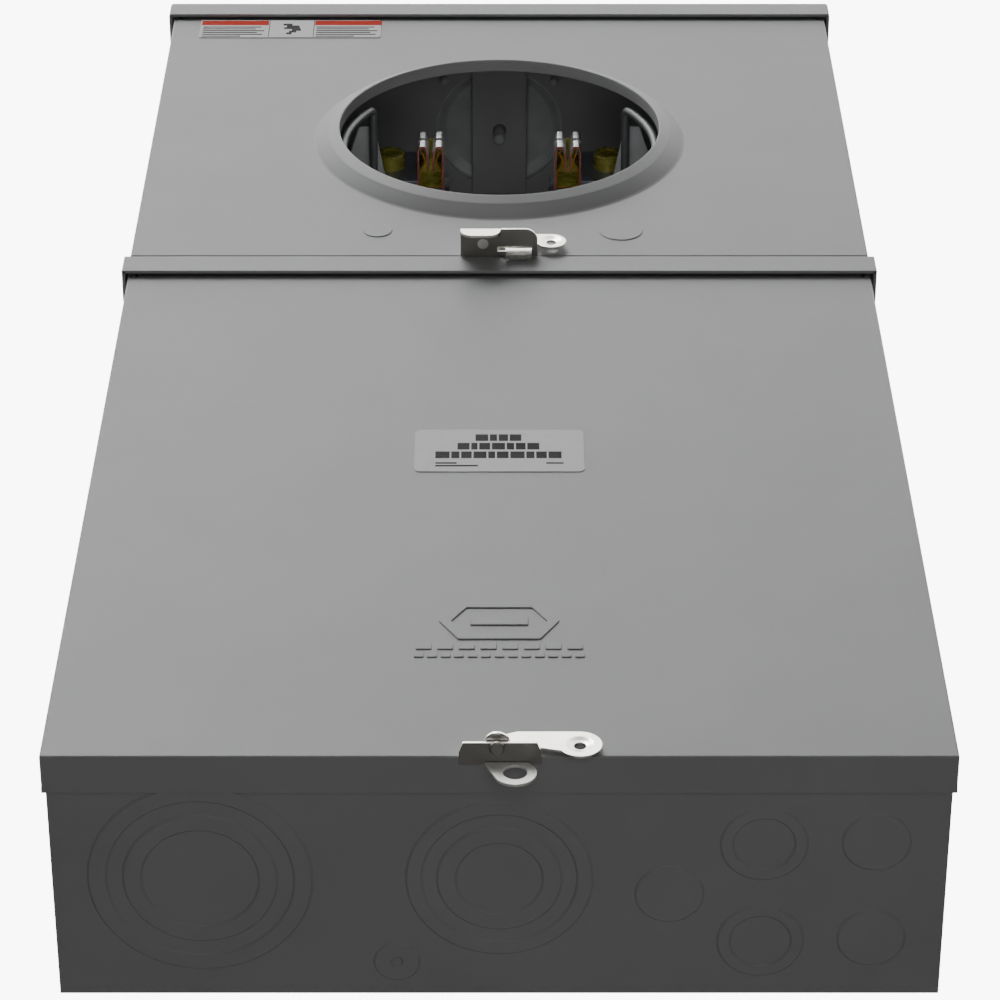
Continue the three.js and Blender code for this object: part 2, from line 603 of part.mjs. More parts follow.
/** A hasp lever's flag: a strip that runs out from the pin to a round end with a padlock hole. */
function haspFlag([low, high], endX, endZ, endRadius, plane) {
  const outline = new THREE.Shape();
  outline.moveTo(0, low);
  outline.lineTo(endX - endRadius, low);
  outline.absarc(endX, endZ, endRadius, Math.PI * 1.15, Math.PI * 2.5);
  outline.lineTo(6, endZ + endRadius);
  outline.lineTo(0, high);
  const flag = prism(outline, 'y', [plane, plane + LATCH_SHEET], 10);
  const hole = rod('y', PADLOCK_HOLE, [plane - 1, plane + 3], [endX, endZ], 16);
  return cut(flag, hole);
}

/** Latch at the bottom of the meter cover: shelf with a drooped front and a tongue, pin and hasp. */
function meterLatch() {
  const shelfTop = UPPER_BOTTOM + 2.8;
  const shelf = [shelfTop - LATCH_SHEET, shelfTop];
  const back = UPPER_FACE - GAP;
  const front = UPPER_FACE - 15.1;
  const [left, right, corner] = [-19, 18.7, 6];
  const outline = new THREE.Shape();
  outline.moveTo(left, back);
  outline.lineTo(left, front);
  outline.lineTo(right - corner, front);
  outline.absarc(right - corner, front + corner, corner, -Math.PI / 2, 0);
  outline.lineTo(right, back);
  const plate = prism(outline, 'z', shelf, 6);
  const droop = new THREE.Shape();
  droop.moveTo(0.5, shelfTop);
  droop.lineTo(left, shelfTop);
  droop.absarc(left + 6, shelfTop - 2.5, 6, Math.PI, Math.PI * 1.5);
  droop.absarc(-5.5, shelfTop - 2.5, 6, Math.PI * 1.5, Math.PI * 2);
  const apron = prism(droop, 'y', [front, front + LATCH_SHEET], 6);
  const leg = block([left + 2, right - 2], [back - LATCH_SHEET, back], [shelfTop - 1, shelfTop + 4]);
  const slot = block([-1, 15.8], [back - 5.2, back - 2.6], [shelf[0] - 1, shelfTop + 1]);
  const tongueFront = back - 2.6 - LATCH_SHEET;
  const tongue = block([3.1, 15.8], [tongueFront, back - 2.6], [shelf[0] - 4.4, shelfTop]);
  const foot = block([3.1, 15.8], [tongueFront, back - GAP], [shelf[0] - 4.4, shelf[0] - 3.4]);
  const pinX = -8;
  const pinY = UPPER_FACE - 7;
  const pinHole = rod('z', PIN_BORE, [shelf[0] - 2, shelfTop + 2], [pinX, pinY], 16);
  const shelfBody = cut(plate, slot, pinHole);
  piece('meter_latch_plate', join(shelfBody, apron, leg, tongue, foot), stainless);

  const heights = [shelfTop + GAP, shelfTop + 8.4];
  const flag = haspFlag([0, 8.1], 33.6, 4.6, 7.3, 2.6);
  const barrel = rod('z', 3.4, [0, heights[1] - heights[0]], [0, 0], 20);
  const bore = rod('z', PIN_BORE, [-1, 12], [0, 0], 16);
  const lever = cut(join(flag, barrel), bore);
  piece('meter_latch_hasp', lever, stainless, { position: [pinX, pinY, heights[0]] });

  const pin = rod('z', PIN_RADIUS, [shelf[0] - 1, heights[1] - 0.6], [pinX, pinY], 16);
  const head = rod('z', 3, [shelf[0] - 3, shelf[0] - GAP], [pinX, pinY], 20, 4.7);
  piece('meter_latch_pin', join(pin, head), stainless);
}

/** Latch at the bottom edge of the breaker cover, with the pierced eye for a padlock. */
function mainLatch() {
  const shelf = [-GAP - LATCH_SHEET, -GAP];
  const front = LOWER_FACE - 7.5;
  const back = LOWER_FACE + 2.6;
  const outline = new THREE.Shape([
    [-16, back], [-16, front + 4.5], [-14.4, front], [14.9, front], [16.6, front + 4.5], [16.6, back],
  ].map(([u, v]) => new THREE.Vector2(u, v)));
  const pinX = -0.9;
  const pinY = LOWER_FACE - 5.6;
  const pinHole = rod('z', PIN_BORE, [shelf[0] - 1, 1], [pinX, pinY], 16);
  const plate = prism(outline, 'z', shelf);
  const upright = block([-15, -8.5], [LOWER_FACE - 1.6, LOWER_FACE - GAP], [shelf[0] + 0.5, 7]);
  piece('main_latch_plate', cut(join(plate, upright), pinHole), stainless);

  const base = 0.1;
  const disc = rod('z', 5.3, [0, 2], [0, 0], 24);
  const flag = haspFlag([1.2, 10.6], 32.7, 3.8, 8.8, 2.2);
  const bore = rod('z', PIN_BORE, [-1, 4], [0, 0], 16);
  const lever = cut(join(flag, disc), bore);
  piece('main_latch_hasp', lever, stainless, { position: [pinX, pinY, base] });
  const pin = rod('z', PIN_RADIUS, [shelf[0] - 1, base + 3], [pinX, pinY], 16);
  const head = rod('z', 3, [shelf[0] - 2, shelf[0] - GAP], [pinX, pinY], 16);
  piece('main_latch_pin', join(pin, head), stainless);

  const [eyeX, eyeZ, eyeRadius] = [6.2, -8.9, 8.5];
  const eye = new THREE.Shape();
  eye.moveTo(11.5, shelf[0] - GAP);
  eye.lineTo(-6.2, shelf[0] - GAP);
  eye.absarc(eyeX, eyeZ, eyeRadius, Math.PI * 1.17, Math.PI * 2.2);
  const eyePlate = prism(eye, 'y', [back - LATCH_SHEET, back], 10);
  const hole = rod('y', 4.75, [back - 3, back + 2], [eyeX, eyeZ], 20);
  piece('main_latch_eye', cut(eyePlate, hole), stainless);
}

// ---- Labels ----

/** Thin label plate lying on a cover face. */
function labelPlate(name, face, width, height, radius, x, z) {
  const outline = roundedRectangle(width, height, radius, x, z);
  piece(name, prism(outline, 'y', [face - GAP - 0.3, face - GAP], 4), label);
}

bodyWrapper();
topEndwall();
bottomEndwall();
midRail();
meterCover();
breakerCover();
hubClosure();
onBothSides(jawBlock);
onBothSides(lineLug);
onBothSides(loadBus);
onBothSides(meterRest);
onBothSides(restBracket);
for (const [row, end] of [['line', 1], ['load', -1]]) {
  onBothSides((name, side) => jaw(`${row}_${name}`, side * JAW_X, OPENING_HEIGHT + end * JAW_RISE));
}
breakerPan();
breaker();
onBothSides(breakerLug);
deadFront();
neutralBar();
groundLug();
meterLatch();
mainLatch();
labelPlate('warning_label', UPPER_FACE, 100.2, 23.6, 1, -115.7, 707.6);
labelPlate('main_label', LOWER_FACE, 76, 37.5, 3, 0, 242);

export default enclosure;
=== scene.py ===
"""Ringless meter socket enclosure: the visible pieces, their finishes, the light and the camera."""
import math

import bmesh
import bpy
from mathutils import Matrix, Vector


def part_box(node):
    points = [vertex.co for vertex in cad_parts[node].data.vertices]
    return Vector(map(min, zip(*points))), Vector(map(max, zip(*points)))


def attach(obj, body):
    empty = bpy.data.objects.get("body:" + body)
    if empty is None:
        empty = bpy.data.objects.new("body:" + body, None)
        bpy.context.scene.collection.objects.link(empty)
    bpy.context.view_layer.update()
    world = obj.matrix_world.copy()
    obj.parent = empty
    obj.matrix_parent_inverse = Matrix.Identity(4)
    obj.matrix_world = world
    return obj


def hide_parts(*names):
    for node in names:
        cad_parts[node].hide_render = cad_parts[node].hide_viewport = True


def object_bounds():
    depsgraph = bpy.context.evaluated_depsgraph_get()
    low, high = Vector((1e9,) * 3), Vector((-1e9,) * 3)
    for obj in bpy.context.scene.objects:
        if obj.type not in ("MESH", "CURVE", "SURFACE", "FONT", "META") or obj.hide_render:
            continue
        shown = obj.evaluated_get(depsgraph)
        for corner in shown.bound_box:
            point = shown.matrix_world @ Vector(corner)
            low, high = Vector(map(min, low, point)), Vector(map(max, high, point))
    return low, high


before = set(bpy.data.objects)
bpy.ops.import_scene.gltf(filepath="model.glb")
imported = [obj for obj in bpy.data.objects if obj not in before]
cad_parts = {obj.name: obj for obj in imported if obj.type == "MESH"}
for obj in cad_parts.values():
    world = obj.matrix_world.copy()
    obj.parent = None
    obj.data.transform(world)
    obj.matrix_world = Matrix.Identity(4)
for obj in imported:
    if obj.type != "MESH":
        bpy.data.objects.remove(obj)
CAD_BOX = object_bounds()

bl_info = {
    "name": "Meter Socket Enclosure",
    "version": (1, 0, 0),
    "blender": (4, 5, 0),
    "location": "3D View > Sidebar > Meter Socket",
    "description": "Builds a ringless meter socket enclosure piece by piece",
    "category": "Object",
}

MM = 0.001
SIDES = (("left", -1), ("right", 1))
ROWS = ("line", "load")


# ---- Places read from the frame ----

def span(node):
    """The lowest and highest corner of a CAD node, as vectors."""
    low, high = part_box(node)
    return Vector(low), Vector(high)


def middle(node):
    """The middle of a CAD node's box."""
    low, high = span(node)
    return (low + high) / 2


UPPER_FACE = span("mid_rail")[0].y
LOWER_FACE = span("breaker_cover")[0].y
OPENING = (middle("jaw_line_left") + middle("jaw_load_right")) / 2

# Sizes that several pieces share.
TONGUE_RISE = 9 * MM
TONGUE_HALF = 176.5 * MM
COVER_RETURN = 17.4 * MM
WRAP_REACH = 17 * MM
LATCH_SHEET = 1.3 * MM
RAIL_SHEET = 1.6 * MM
LABEL_STANDOFF = 0.25 * MM
INK_RISE = 0.06 * MM
TINY = 1e-5


# ---- Mesh helpers ----

def slab(bm, low, high):
    """Add a box between two corners and return its vertices."""
    low, high = Vector(low), Vector(high)
    size = Matrix.Diagonal((*(high - low), 1))
    return bmesh.ops.create_cube(bm, size=1, matrix=Matrix.Translation((low + high) / 2) @ size)["verts"]


def facing(axis, centre):
    """A frame at centre whose Z points along the named axis, such as "-Y"."""
    turns = {
        "+Z": Matrix.Identity(4),
        "-Z": Matrix.Rotation(math.pi, 4, "X"),
        "-Y": Matrix.Rotation(math.pi / 2, 4, "X"),
        "+X": Matrix.Rotation(math.pi / 2, 4, "Y"),
    }
    return Matrix.Translation(centre) @ turns[axis]


def circle(bm, centre, radius, axis="-Y", sides=64):
    """Add an open circle and return its edges."""
    made = bmesh.ops.create_circle(bm, radius=radius, segments=sides, matrix=facing(axis, centre))
    return list({edge for vert in made["verts"] for edge in vert.link_edges})


def outline(bm, points):
    """Add a closed loop through the points and return its edges."""
    verts = [bm.verts.new(point) for point in points]
    return [bm.edges.new((a, b)) for a, b in zip(verts, verts[1:] + verts[:1])]


def fill(bm, edges, normal):
    """Fill a flat outline, holes left open, and return its faces."""
    made = bmesh.ops.triangle_fill(bm, edges=edges, use_beauty=True, normal=normal)["geom"]
    faces = [item for item in made if isinstance(item, bmesh.types.BMFace)]
    for face in faces:
        if face.normal.dot(Vector(normal)) < 0:
            face.normal_flip()
    return faces


def pull(bm, edges, shift=(0, 0, 0), scale=None, centre=(0, 0, 0)):
    """Draw a row of edges on to the next step of a shape and return the new row."""
    made = bmesh.ops.extrude_edge_only(bm, edges=edges)["geom"]
    verts = {item for item in made if isinstance(item, bmesh.types.BMVert)}
    if scale:
        space = Matrix.Translation(-Vector(centre))
        bmesh.ops.scale(bm, vec=scale, space=space, verts=list(verts))
    bmesh.ops.translate(bm, vec=shift, verts=list(verts))
    rows = [item for item in made if isinstance(item, bmesh.types.BMEdge)]
    return [edge for edge in rows if edge.verts[0] in verts and edge.verts[1] in verts]


def draw_round(bm, edges, centre, axis, radius, steps):
    """Pull a circle through (radius, rise) steps; rise is measured along the axis."""
    along = facing(axis, (0, 0, 0)) @ Vector((0, 0, 1))
    rise = 0.0
    for next_radius, next_rise in steps:
        ratio = next_radius / radius
        scale = [1 if abs(part) > 0.5 else ratio for part in along]
        edges = pull(bm, edges, along * (next_rise - rise), scale, Vector(centre) + along * rise)
        radius, rise = next_radius, next_rise
    return edges


def sweep(bm, edges, centre, axis, angle, steps):
    """Carry a ring of edges round an axis through centre; return the last ring."""
    last = bmesh.ops.spin(bm, geom=edges, cent=centre, axis=axis, angle=angle, steps=steps)["geom_last"]
    return [item for item in last if isinstance(item, bmesh.types.BMEdge)]


def cap(bm, edges):
    """Close a round row of edges with one face."""
    bmesh.ops.edgeloop_fill(bm, edges=edges)


def arc(centre, radius, start, end, steps):
    """Points of an arc in a plane, angles in degrees."""
    turns = [math.radians(start + (end - start) * i / steps) for i in range(steps + 1)]
    return [(centre[0] + radius * math.cos(t), centre[1] + radius * math.sin(t)) for t in turns]


def rounded(low, high, corner, steps):
    """Points of a rectangle with rounded corners, between two opposite corners in a plane."""
    points = []
    for right, up, start in ((True, False, -90), (True, True, 0), (False, True, 90), (False, False, 180)):
        at = (high[0] - corner if right else low[0] + corner, high[1] - corner if up else low[1] + corner)
        points += arc(at, corner, start, start + 90, steps)
    return points


def soften(bm, radius, segments=2, sharper_than=38, edges=None):
    """Round the sharp edges, or the given ones."""
    if edges is None:
        limit = math.radians(sharper_than)
        edges = [e for e in bm.edges if len(e.link_faces) == 2 and e.calc_face_angle(0) > limit]
    bmesh.ops.bevel(bm, geom=edges, offset=radius, offset_type="OFFSET", segments=segments,
                    profile=0.5, affect="EDGES", clamp_overlap=True, material=-1)


def edges_where(bm, test):
    """Edges whose middle and direction satisfy a test."""
    return [e for e in bm.edges
            if test((e.verts[0].co + e.verts[1].co) / 2, (e.verts[0].co - e.verts[1].co).normalized())]


def face_out(bm, way):
    """Make a sheet's normals agree, with its main face looking along way."""
    bmesh.ops.recalc_face_normals(bm, faces=bm.faces[:])
    if sum(face.normal.dot(Vector(way)) * face.calc_area() for face in bm.faces) < 0:
        bmesh.ops.reverse_faces(bm, faces=bm.faces[:])


def thicken(bm, thickness):
    """Give a sheet its thickness, behind the face its normals show."""
    bmesh.ops.solidify(bm, geom=bm.faces[:], thickness=thickness)


def plate(bm, points, thickness, holes=()):
    """Add a flat plate from an outline and circular holes [(centre, radius, axis)]."""
    loop = outline(bm, points)
    rings = [edge for centre, radius, axis in holes for edge in circle(bm, centre, radius, axis, 32)]
    thickness = Vector(thickness)
    faces = fill(bm, loop + rings, -thickness.normalized())
    made = bmesh.ops.extrude_face_region(bm, geom=faces, use_keep_orig=True)["geom"]
    verts = [item for item in made if isinstance(item, bmesh.types.BMVert)]
    bmesh.ops.translate(bm, vec=thickness, verts=verts)
    bmesh.ops.recalc_face_normals(bm, faces=bm.faces[:])


def turned(bm, centre, axis, profile, sides=48):
    """Spin a (radius, rise) profile, which starts and ends on the axis, into a closed round body."""
    place = facing(axis, centre)
    verts = [bm.verts.new(place @ Vector((radius, 0, rise))) for radius, rise in profile]
    edges = [bm.edges.new(pair) for pair in zip(verts, verts[1:])]
    direction = place.to_3x3() @ Vector((0, 0, 1))
    bmesh.ops.spin(bm, geom=verts + edges, cent=centre, axis=direction, angle=2 * math.pi,
                   steps=sides, use_merge=True)
    bmesh.ops.remove_doubles(bm, verts=bm.verts[:], dist=1e-6)
    bmesh.ops.dissolve_degenerate(bm, edges=bm.edges[:], dist=1e-6)
    bmesh.ops.recalc_face_normals(bm, faces=bm.faces[:])


def strip(bm, line, width, thickness):
    """Add a bent strip along a line in plan; its width runs upwards, centred on the line's height."""
    verts = [bm.verts.new((x, y, z - width / 2)) for x, y, z in line]
    edges = [bm.edges.new(pair) for pair in zip(verts, verts[1:])]
    pull(bm, edges, (0, 0, width))
    bmesh.ops.solidify(bm, geom=bm.faces[:], thickness=thickness)


def merge(bm, part):
    """Add a finished part to a mesh and let the part go."""
    mesh = bpy.data.meshes.new("part")
    part.to_mesh(mesh)
    part.free()
    bm.from_mesh(mesh)
    bpy.data.meshes.remove(mesh)


def shade(bm):
    """Smooth the bends and keep the flat faces flat."""
    def square(face):
        return max(abs(part) for part in face.normal) > 0.99995
    for face in bm.faces:
        face.smooth = True
    for edge in bm.edges:
        if len(edge.link_faces) != 2:
            continue
        angle = math.degrees(edge.calc_face_angle(0))
        beside_flat = angle > 1.5 and any(square(face) for face in edge.link_faces)
        edge.smooth = angle < 34 and not beside_flat


def finish_piece(name, bm, finishes, body, nodes, sides=None):
    """Turn a bmesh into a finished piece on its body, standing for its CAD nodes.

    Faces that pass the sides test take the second finish.
    """
    bmesh.ops.remove_doubles(bm, verts=bm.verts[:], dist=1e-7)
    bm.normal_update()
    shade(bm)
    if sides:
        for face in bm.faces:
            if sides(face):
                face.material_index = 1
    mesh = bpy.data.meshes.new(name)
    bm.to_mesh(mesh)
    bm.free()
    piece = bpy.data.objects.new(name, mesh)
    bpy.context.scene.collection.objects.link(piece)
    for finish in finishes:
        mesh.materials.append(FINISHES[finish])
    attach(piece, body)
    if nodes:
        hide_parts(*nodes)
    return piece


# ---- Material helpers ----

def linear(code):
    """Turn an sRGB hex value into a linear colour."""
    parts = [int(code[i:i + 2], 16) / 255 for i in (1, 3, 5)]
    return (*[c / 12.92 if c <= 0.04045 else ((c + 0.055) / 1.055) ** 2.4 for c in parts], 1)


def per_mm(size):
    """The texture scale that gives features of a size in millimetres."""
    return 1000 / size


def add(tree, kind, inputs=None, **settings):
    """Add a shader node; an input given as a socket is linked, any other is set."""
    node = tree.nodes.new("ShaderNode" + kind)
    for name, value in settings.items():
        setattr(node, name, value)
    for key, value in (inputs or {}).items():
        if isinstance(value, bpy.types.NodeSocket):
            tree.links.new(value, node.inputs[key])
        else:
            node.inputs[key].default_value = value
    return node


def start_material(name):
    """An empty node material and its Object coordinates."""
    material = bpy.data.materials.new(name)
    material.use_nodes = True
    tree = material.node_tree
    tree.nodes.clear()
    return material, tree, add(tree, "TexCoord").outputs["Object"]


def close_material(tree, inputs):
    """Add the surface shader and the output."""
    shader = add(tree, "BsdfPrincipled", inputs)
    add(tree, "OutputMaterial", {"Surface": shader.outputs["BSDF"]})


def noise(tree, place, size, detail=2.0, roughness=0.5, stretch=None):
    """A noise field with features of a size in millimetres, stretched along an axis if asked."""
    if stretch:
        place = add(tree, "Mapping", {"Vector": place, "Scale": stretch}).outputs["Vector"]
    inputs = {"Vector": place, "Scale": per_mm(size), "Detail": detail, "Roughness": roughness}
    return add(tree, "TexNoise", inputs).outputs["Fac"]


def blend_colours(tree, factor, dark, light):
    """Mix two hex colours by a factor socket."""
    mix = add(tree, "Mix", {0: factor, 6: linear(dark), 7: linear(light)}, data_type="RGBA")
    return mix.outputs[2]


def spread(tree, value, low, high, start=0.3, end=0.7):
    """Map a noise value on to a range."""
    inputs = {"Value": value, "From Min": start, "From Max": end, "To Min": low, "To Max": high}
    return add(tree, "MapRange", inputs).outputs["Result"]


def bump(tree, height, depth, strength=1.0):
    """A bump whose depth is in millimetres."""
    inputs = {"Height": height, "Distance": depth * MM, "Strength": strength}
    return add(tree, "Bump", inputs).outputs["Normal"]


def powder_coat(colour):
    """Polyester powder coat on steel: an even grey with a faint orange peel and soft sheen."""
    dark, light = colour
    material, tree, place = start_material("powder_coated_steel")
    cloud = noise(tree, place, 55, 3)
    peel = noise(tree, place, 1.6, 2)
    grit = noise(tree, place, 0.45, 1)
    relief = add(tree, "Math", {0: grit, 1: 0.35, 2: peel}, operation="MULTIPLY_ADD").outputs[0]
    close_material(tree, {
        "Base Color": blend_colours(tree, spread(tree, cloud, 0, 1), dark, light),
        "Roughness": spread(tree, peel, 0.42, 0.52),
        "Specular IOR Level": 0.3,
        "Normal": bump(tree, relief, 0.018),
    })
    return material


ROLLED = (1, 12, 12)
CAST = (1, 1, 1)


def rolled_metal(name, dark, light, low, high, grain=ROLLED, size=2.5, depth=0.004, metallic=1.0):
    """Plated or bare metal: streaks along the grain vary its gloss; a dull plating is less metallic."""
    material, tree, place = start_material(name)
    streaks = noise(tree, place, size, 3, 0.6, grain)
    cloud = noise(tree, place, 14, 2)
    close_material(tree, {
        "Base Color": blend_colours(tree, spread(tree, cloud, 0, 1), dark, light),
        "Metallic": metallic,
        "Roughness": spread(tree, streaks, low, high),
        "Normal": bump(tree, streaks, depth),
    })
    return material


def satin_rivet():
    """Tumbled white-nickel rivet: pale and cloudy, it scatters more light than the sheet round it."""
    material, tree, place = start_material("tumbled_nickel_rivet")
    cloud = noise(tree, place, 1.2, 3)
    close_material(tree, {
        "Base Color": blend_colours(tree, spread(tree, cloud, 0, 1), "#EDEBE6", "#F7F6F2"),
        "Metallic": 0.35,
        "Roughness": spread(tree, cloud, 0.4, 0.55),
        "Normal": bump(tree, cloud, 0.01),
    })
    return material


def moulded(name, dark, light, roughness, texture=0.6, depth=0.02):
    """Moulded thermoset: a dull, slightly mottled skin from the tool's spark texture."""
    material, tree, place = start_material(name)
    skin = noise(tree, place, texture, 2)
    cloud = noise(tree, place, 20, 3)
    close_material(tree, {
        "Base Color": blend_colours(tree, spread(tree, cloud, 0, 1), dark, light),
        "Roughness": spread(tree, skin, roughness - 0.06, roughness + 0.06),
        "Normal": bump(tree, skin, depth),
    })
    return material


def printed(name, dark, light, roughness=0.55):
    """Printed vinyl film: an even ink with a slightly uneven gloss."""
    material, tree, place = start_material(name)
    cloud = noise(tree, place, 9, 2)
    close_material(tree, {
        "Base Color": blend_colours(tree, spread(tree, cloud, 0, 1), dark, light),
        "Roughness": spread(tree, cloud, roughness - 0.05, roughness + 0.05),
        "Specular IOR Level": 0.06,
    })
    return material


FINISHES = {}


def make_finishes():
    """Make every finish once."""
    FINISHES.update({
        "paint": powder_coat(("#A0A1A1", "#A5A6A6")),
        "stainless": rolled_metal("rolled_stainless_steel", "#DAD7D0", "#E8E6E1", 0.2, 0.32),
        "rivet": satin_rivet(),
        # Darker, duller copy of the rolled stainless: painted shade, given to latch faces that look down and
        # to the breaker latch's pin head.
        "shaded_stainless": rolled_metal("stainless_in_painted_shade", "#96938E", "#A3A09B", 0.36, 0.48, metallic=0.7),
        "zinc": rolled_metal("clear_zinc_plate", "#B6B9BA", "#C6C9CA", 0.32, 0.46,
                             CAST, 3, metallic=0.3),
        "wire": rolled_metal("galvanised_steel_wire", "#6A6C6D", "#757778", 0.4, 0.5,
                             CAST, 3, metallic=0.4),
        "yellow": rolled_metal("yellow_chromate_zinc", "#98943C", "#B2AE54", 0.2, 0.34,
                               CAST, 4, 0.002, metallic=0.25),
        "yellow_edge": rolled_metal("yellow_chromate_edge", "#A8701C", "#B98434", 0.35, 0.5, CAST, 2),
        "tin": rolled_metal("tin_plated_copper", "#D3D5D5", "#E0E1E1", 0.32, 0.38, CAST, 9, 0.0005),
        "copper_edge": rolled_metal("sheared_copper_edge", "#A4635C", "#BC7A6C", 0.35, 0.5, CAST, 1),
        "aluminium": rolled_metal("plated_aluminium_lug", "#82858F", "#989BA5", 0.34, 0.48,
                                  (8, 1, 1), 2, metallic=0.5),
        "insulator": moulded("grey_thermoset_insulator", "#555A58", "#626765", 0.55),
        "phenolic": moulded("black_phenolic", "#1D1D1E", "#262627", 0.42, 0.5),
        "film": printed("label_film", "#F0F1F0", "#F4F5F4"),
        "black_ink": printed("black_label_ink", "#0C0C0D", "#111112"),
        "red_ink": printed("red_label_ink", "#C4301F", "#CB3826"),
    })


# ---- Settings ----

class MeterSocketSettings(bpy.types.PropertyGroup):
    """Sizes a user would change."""
    fold_radius: bpy.props.FloatProperty(
        name="Fold radius", description="Outer radius of the sheet-metal folds",
        default=1.2 * MM, min=0.3 * MM, unit="LENGTH", subtype="DISTANCE")
    edge_radius: bpy.props.FloatProperty(
        name="Edge radius", description="Softening of sheared and machined edges",
        default=0.3 * MM, min=0.05 * MM, unit="LENGTH", subtype="DISTANCE")
    sheet: bpy.props.FloatProperty(
        name="Body sheet", description="Steel thickness of the body",
        default=1.8 * MM, unit="LENGTH", subtype="DISTANCE")
    cover_sheet: bpy.props.FloatProperty(
        name="Cover sheet", description="Steel thickness of the covers",
        default=1.2 * MM, unit="LENGTH", subtype="DISTANCE")
    opening_radius: bpy.props.FloatProperty(
        name="Opening radius", description="Radius of the hole that the meter comes through",
        default=83 * MM, unit="LENGTH", subtype="DISTANCE")
    ring_radius: bpy.props.FloatProperty(
        name="Ring foot radius", description="Radius where the drawn ring leaves the cover",
        default=95.8 * MM, unit="LENGTH", subtype="DISTANCE")
    knockout_step: bpy.props.FloatProperty(
        name="Knockout step", description="How far a knockout ring stands off the plate",
        default=0.8 * MM, unit="LENGTH", subtype="DISTANCE")
    wire_radius: bpy.props.FloatProperty(
        name="Bail wire radius", description="Radius of the wire that the meter rests on",
        default=2.2 * MM, unit="LENGTH", subtype="DISTANCE")


class MeterSocketCamera(bpy.types.PropertyGroup):
    """Camera values."""
    drop: bpy.props.FloatProperty(
        name="Drop", description="How far the camera is below the lower cover's bottom edge",
        default=1.2272, unit="LENGTH", subtype="DISTANCE")
    reach: bpy.props.FloatProperty(
        name="Reach", description="How far the camera is in front of the lower cover",
        default=0.8384, unit="LENGTH", subtype="DISTANCE")
    climb: bpy.props.FloatProperty(
        name="Climb", description="How steeply the camera looks up",
        default=math.radians(59.66), subtype="ANGLE")
    lens: bpy.props.FloatProperty(
        name="Lens", description="Focal length in millimetres on a 36 mm sensor", default=135.9)


# ---- Shell ----

class METERSOCKET_OT_body(bpy.types.Operator):
    """Fold the back and the two sides from one sheet"""
    bl_idname = "metersocket.body"
    bl_label = "Body wrapper"

    def execute(self, context):
        sizes = context.scene.meter_socket
        low, high = span("body_wrapper")
        bm = bmesh.new()
        slab(bm, low, high)
        gone = [f for f in bm.faces if abs(f.normal.z) > 0.5 or f.normal.y < -0.5]
        bmesh.ops.delete(bm, geom=gone, context="FACES")
        folds = edges_where(bm, lambda at, way: abs(way.z) > 0.9 and at.y > high.y - MM)
        soften(bm, sizes.fold_radius * 1.6, 5, edges=folds)
        thicken(bm, sizes.sheet)
        soften(bm, sizes.edge_radius, 2, 60)
        finish_piece("body_wrapper_sheet", bm, ["paint"], "enclosure",
                     ["body_wrapper"])
        return {"FINISHED"}


def hub_corners():
    """The four screws' places around the hub opening."""
    return [middle(f"hub_screw_{i}") for i in (1, 2, 3, 4)]


class METERSOCKET_OT_top(bpy.types.Operator):
    """Fold the top plate with its rain hood and the hub opening"""
    bl_idname = "metersocket.top"
    bl_label = "Top endwall"

    def execute(self, context):
        sizes = context.scene.meter_socket
        low, high = span("top_endwall")
        side = span("body_wrapper")[1].x
        wrap = low.y + WRAP_REACH
        hub = middle("hub_closing_plate")
        bm = bmesh.new()
        points = [(-high.x, low.y), (high.x, low.y), (high.x, wrap), (side, wrap), (side, 0),
                  (-side, 0), (-side, wrap), (-high.x, wrap)]
        rim = outline(bm, [(x, y, high.z) for x, y in points])
        hole = circle(bm, (hub.x, hub.y, high.z), 36 * MM, "+Z", 64)
        fill(bm, rim + hole, (0, 0, 1))
        brim = edges_where(bm, lambda at, way: at.y < wrap - MM and (abs(at.x) > high.x - TINY
                                                                    or at.y < low.y + TINY)
                           and at.z > high.z - TINY)
        pull(bm, brim, (0, 0, low.z - high.z))
        folds = edges_where(bm, lambda at, way: at.y < wrap - MM and at.z > low.z + MM and (
            abs(way.z) > 0.9 and abs(at.x) > high.x - TINY and at.y < low.y + TINY
            or at.z > high.z - TINY and (abs(at.x) > high.x - TINY or at.y < low.y + TINY)))
        soften(bm, sizes.fold_radius * 1.2, 5, edges=folds)
        thicken(bm, sizes.sheet * 0.9)
        soften(bm, sizes.edge_radius, 2, 60)
        finish_piece("top_endwall_sheet", bm, ["paint"], "enclosure",
                     ["top_endwall"])
        return {"FINISHED"}


KNOCKOUTS = (
    # across, behind the lower face, ring radii in millimetres
    (-120, 60, (45, 37.7, 30.9, 23.6)),
    (0, 60, (37.4, 31.3, 25, 17.5)),
    (68.4, 67.5, (13.7,)),
    (105.7, 43, (17.4, 12.4)),
    (105.7, 91, (17.4, 12.4)),
    (150.5, 42, (13.6,)),
    (150.5, 89.5, (13.6,)),
    (-41.6, 101.5, (9.2, 2.2)),
)


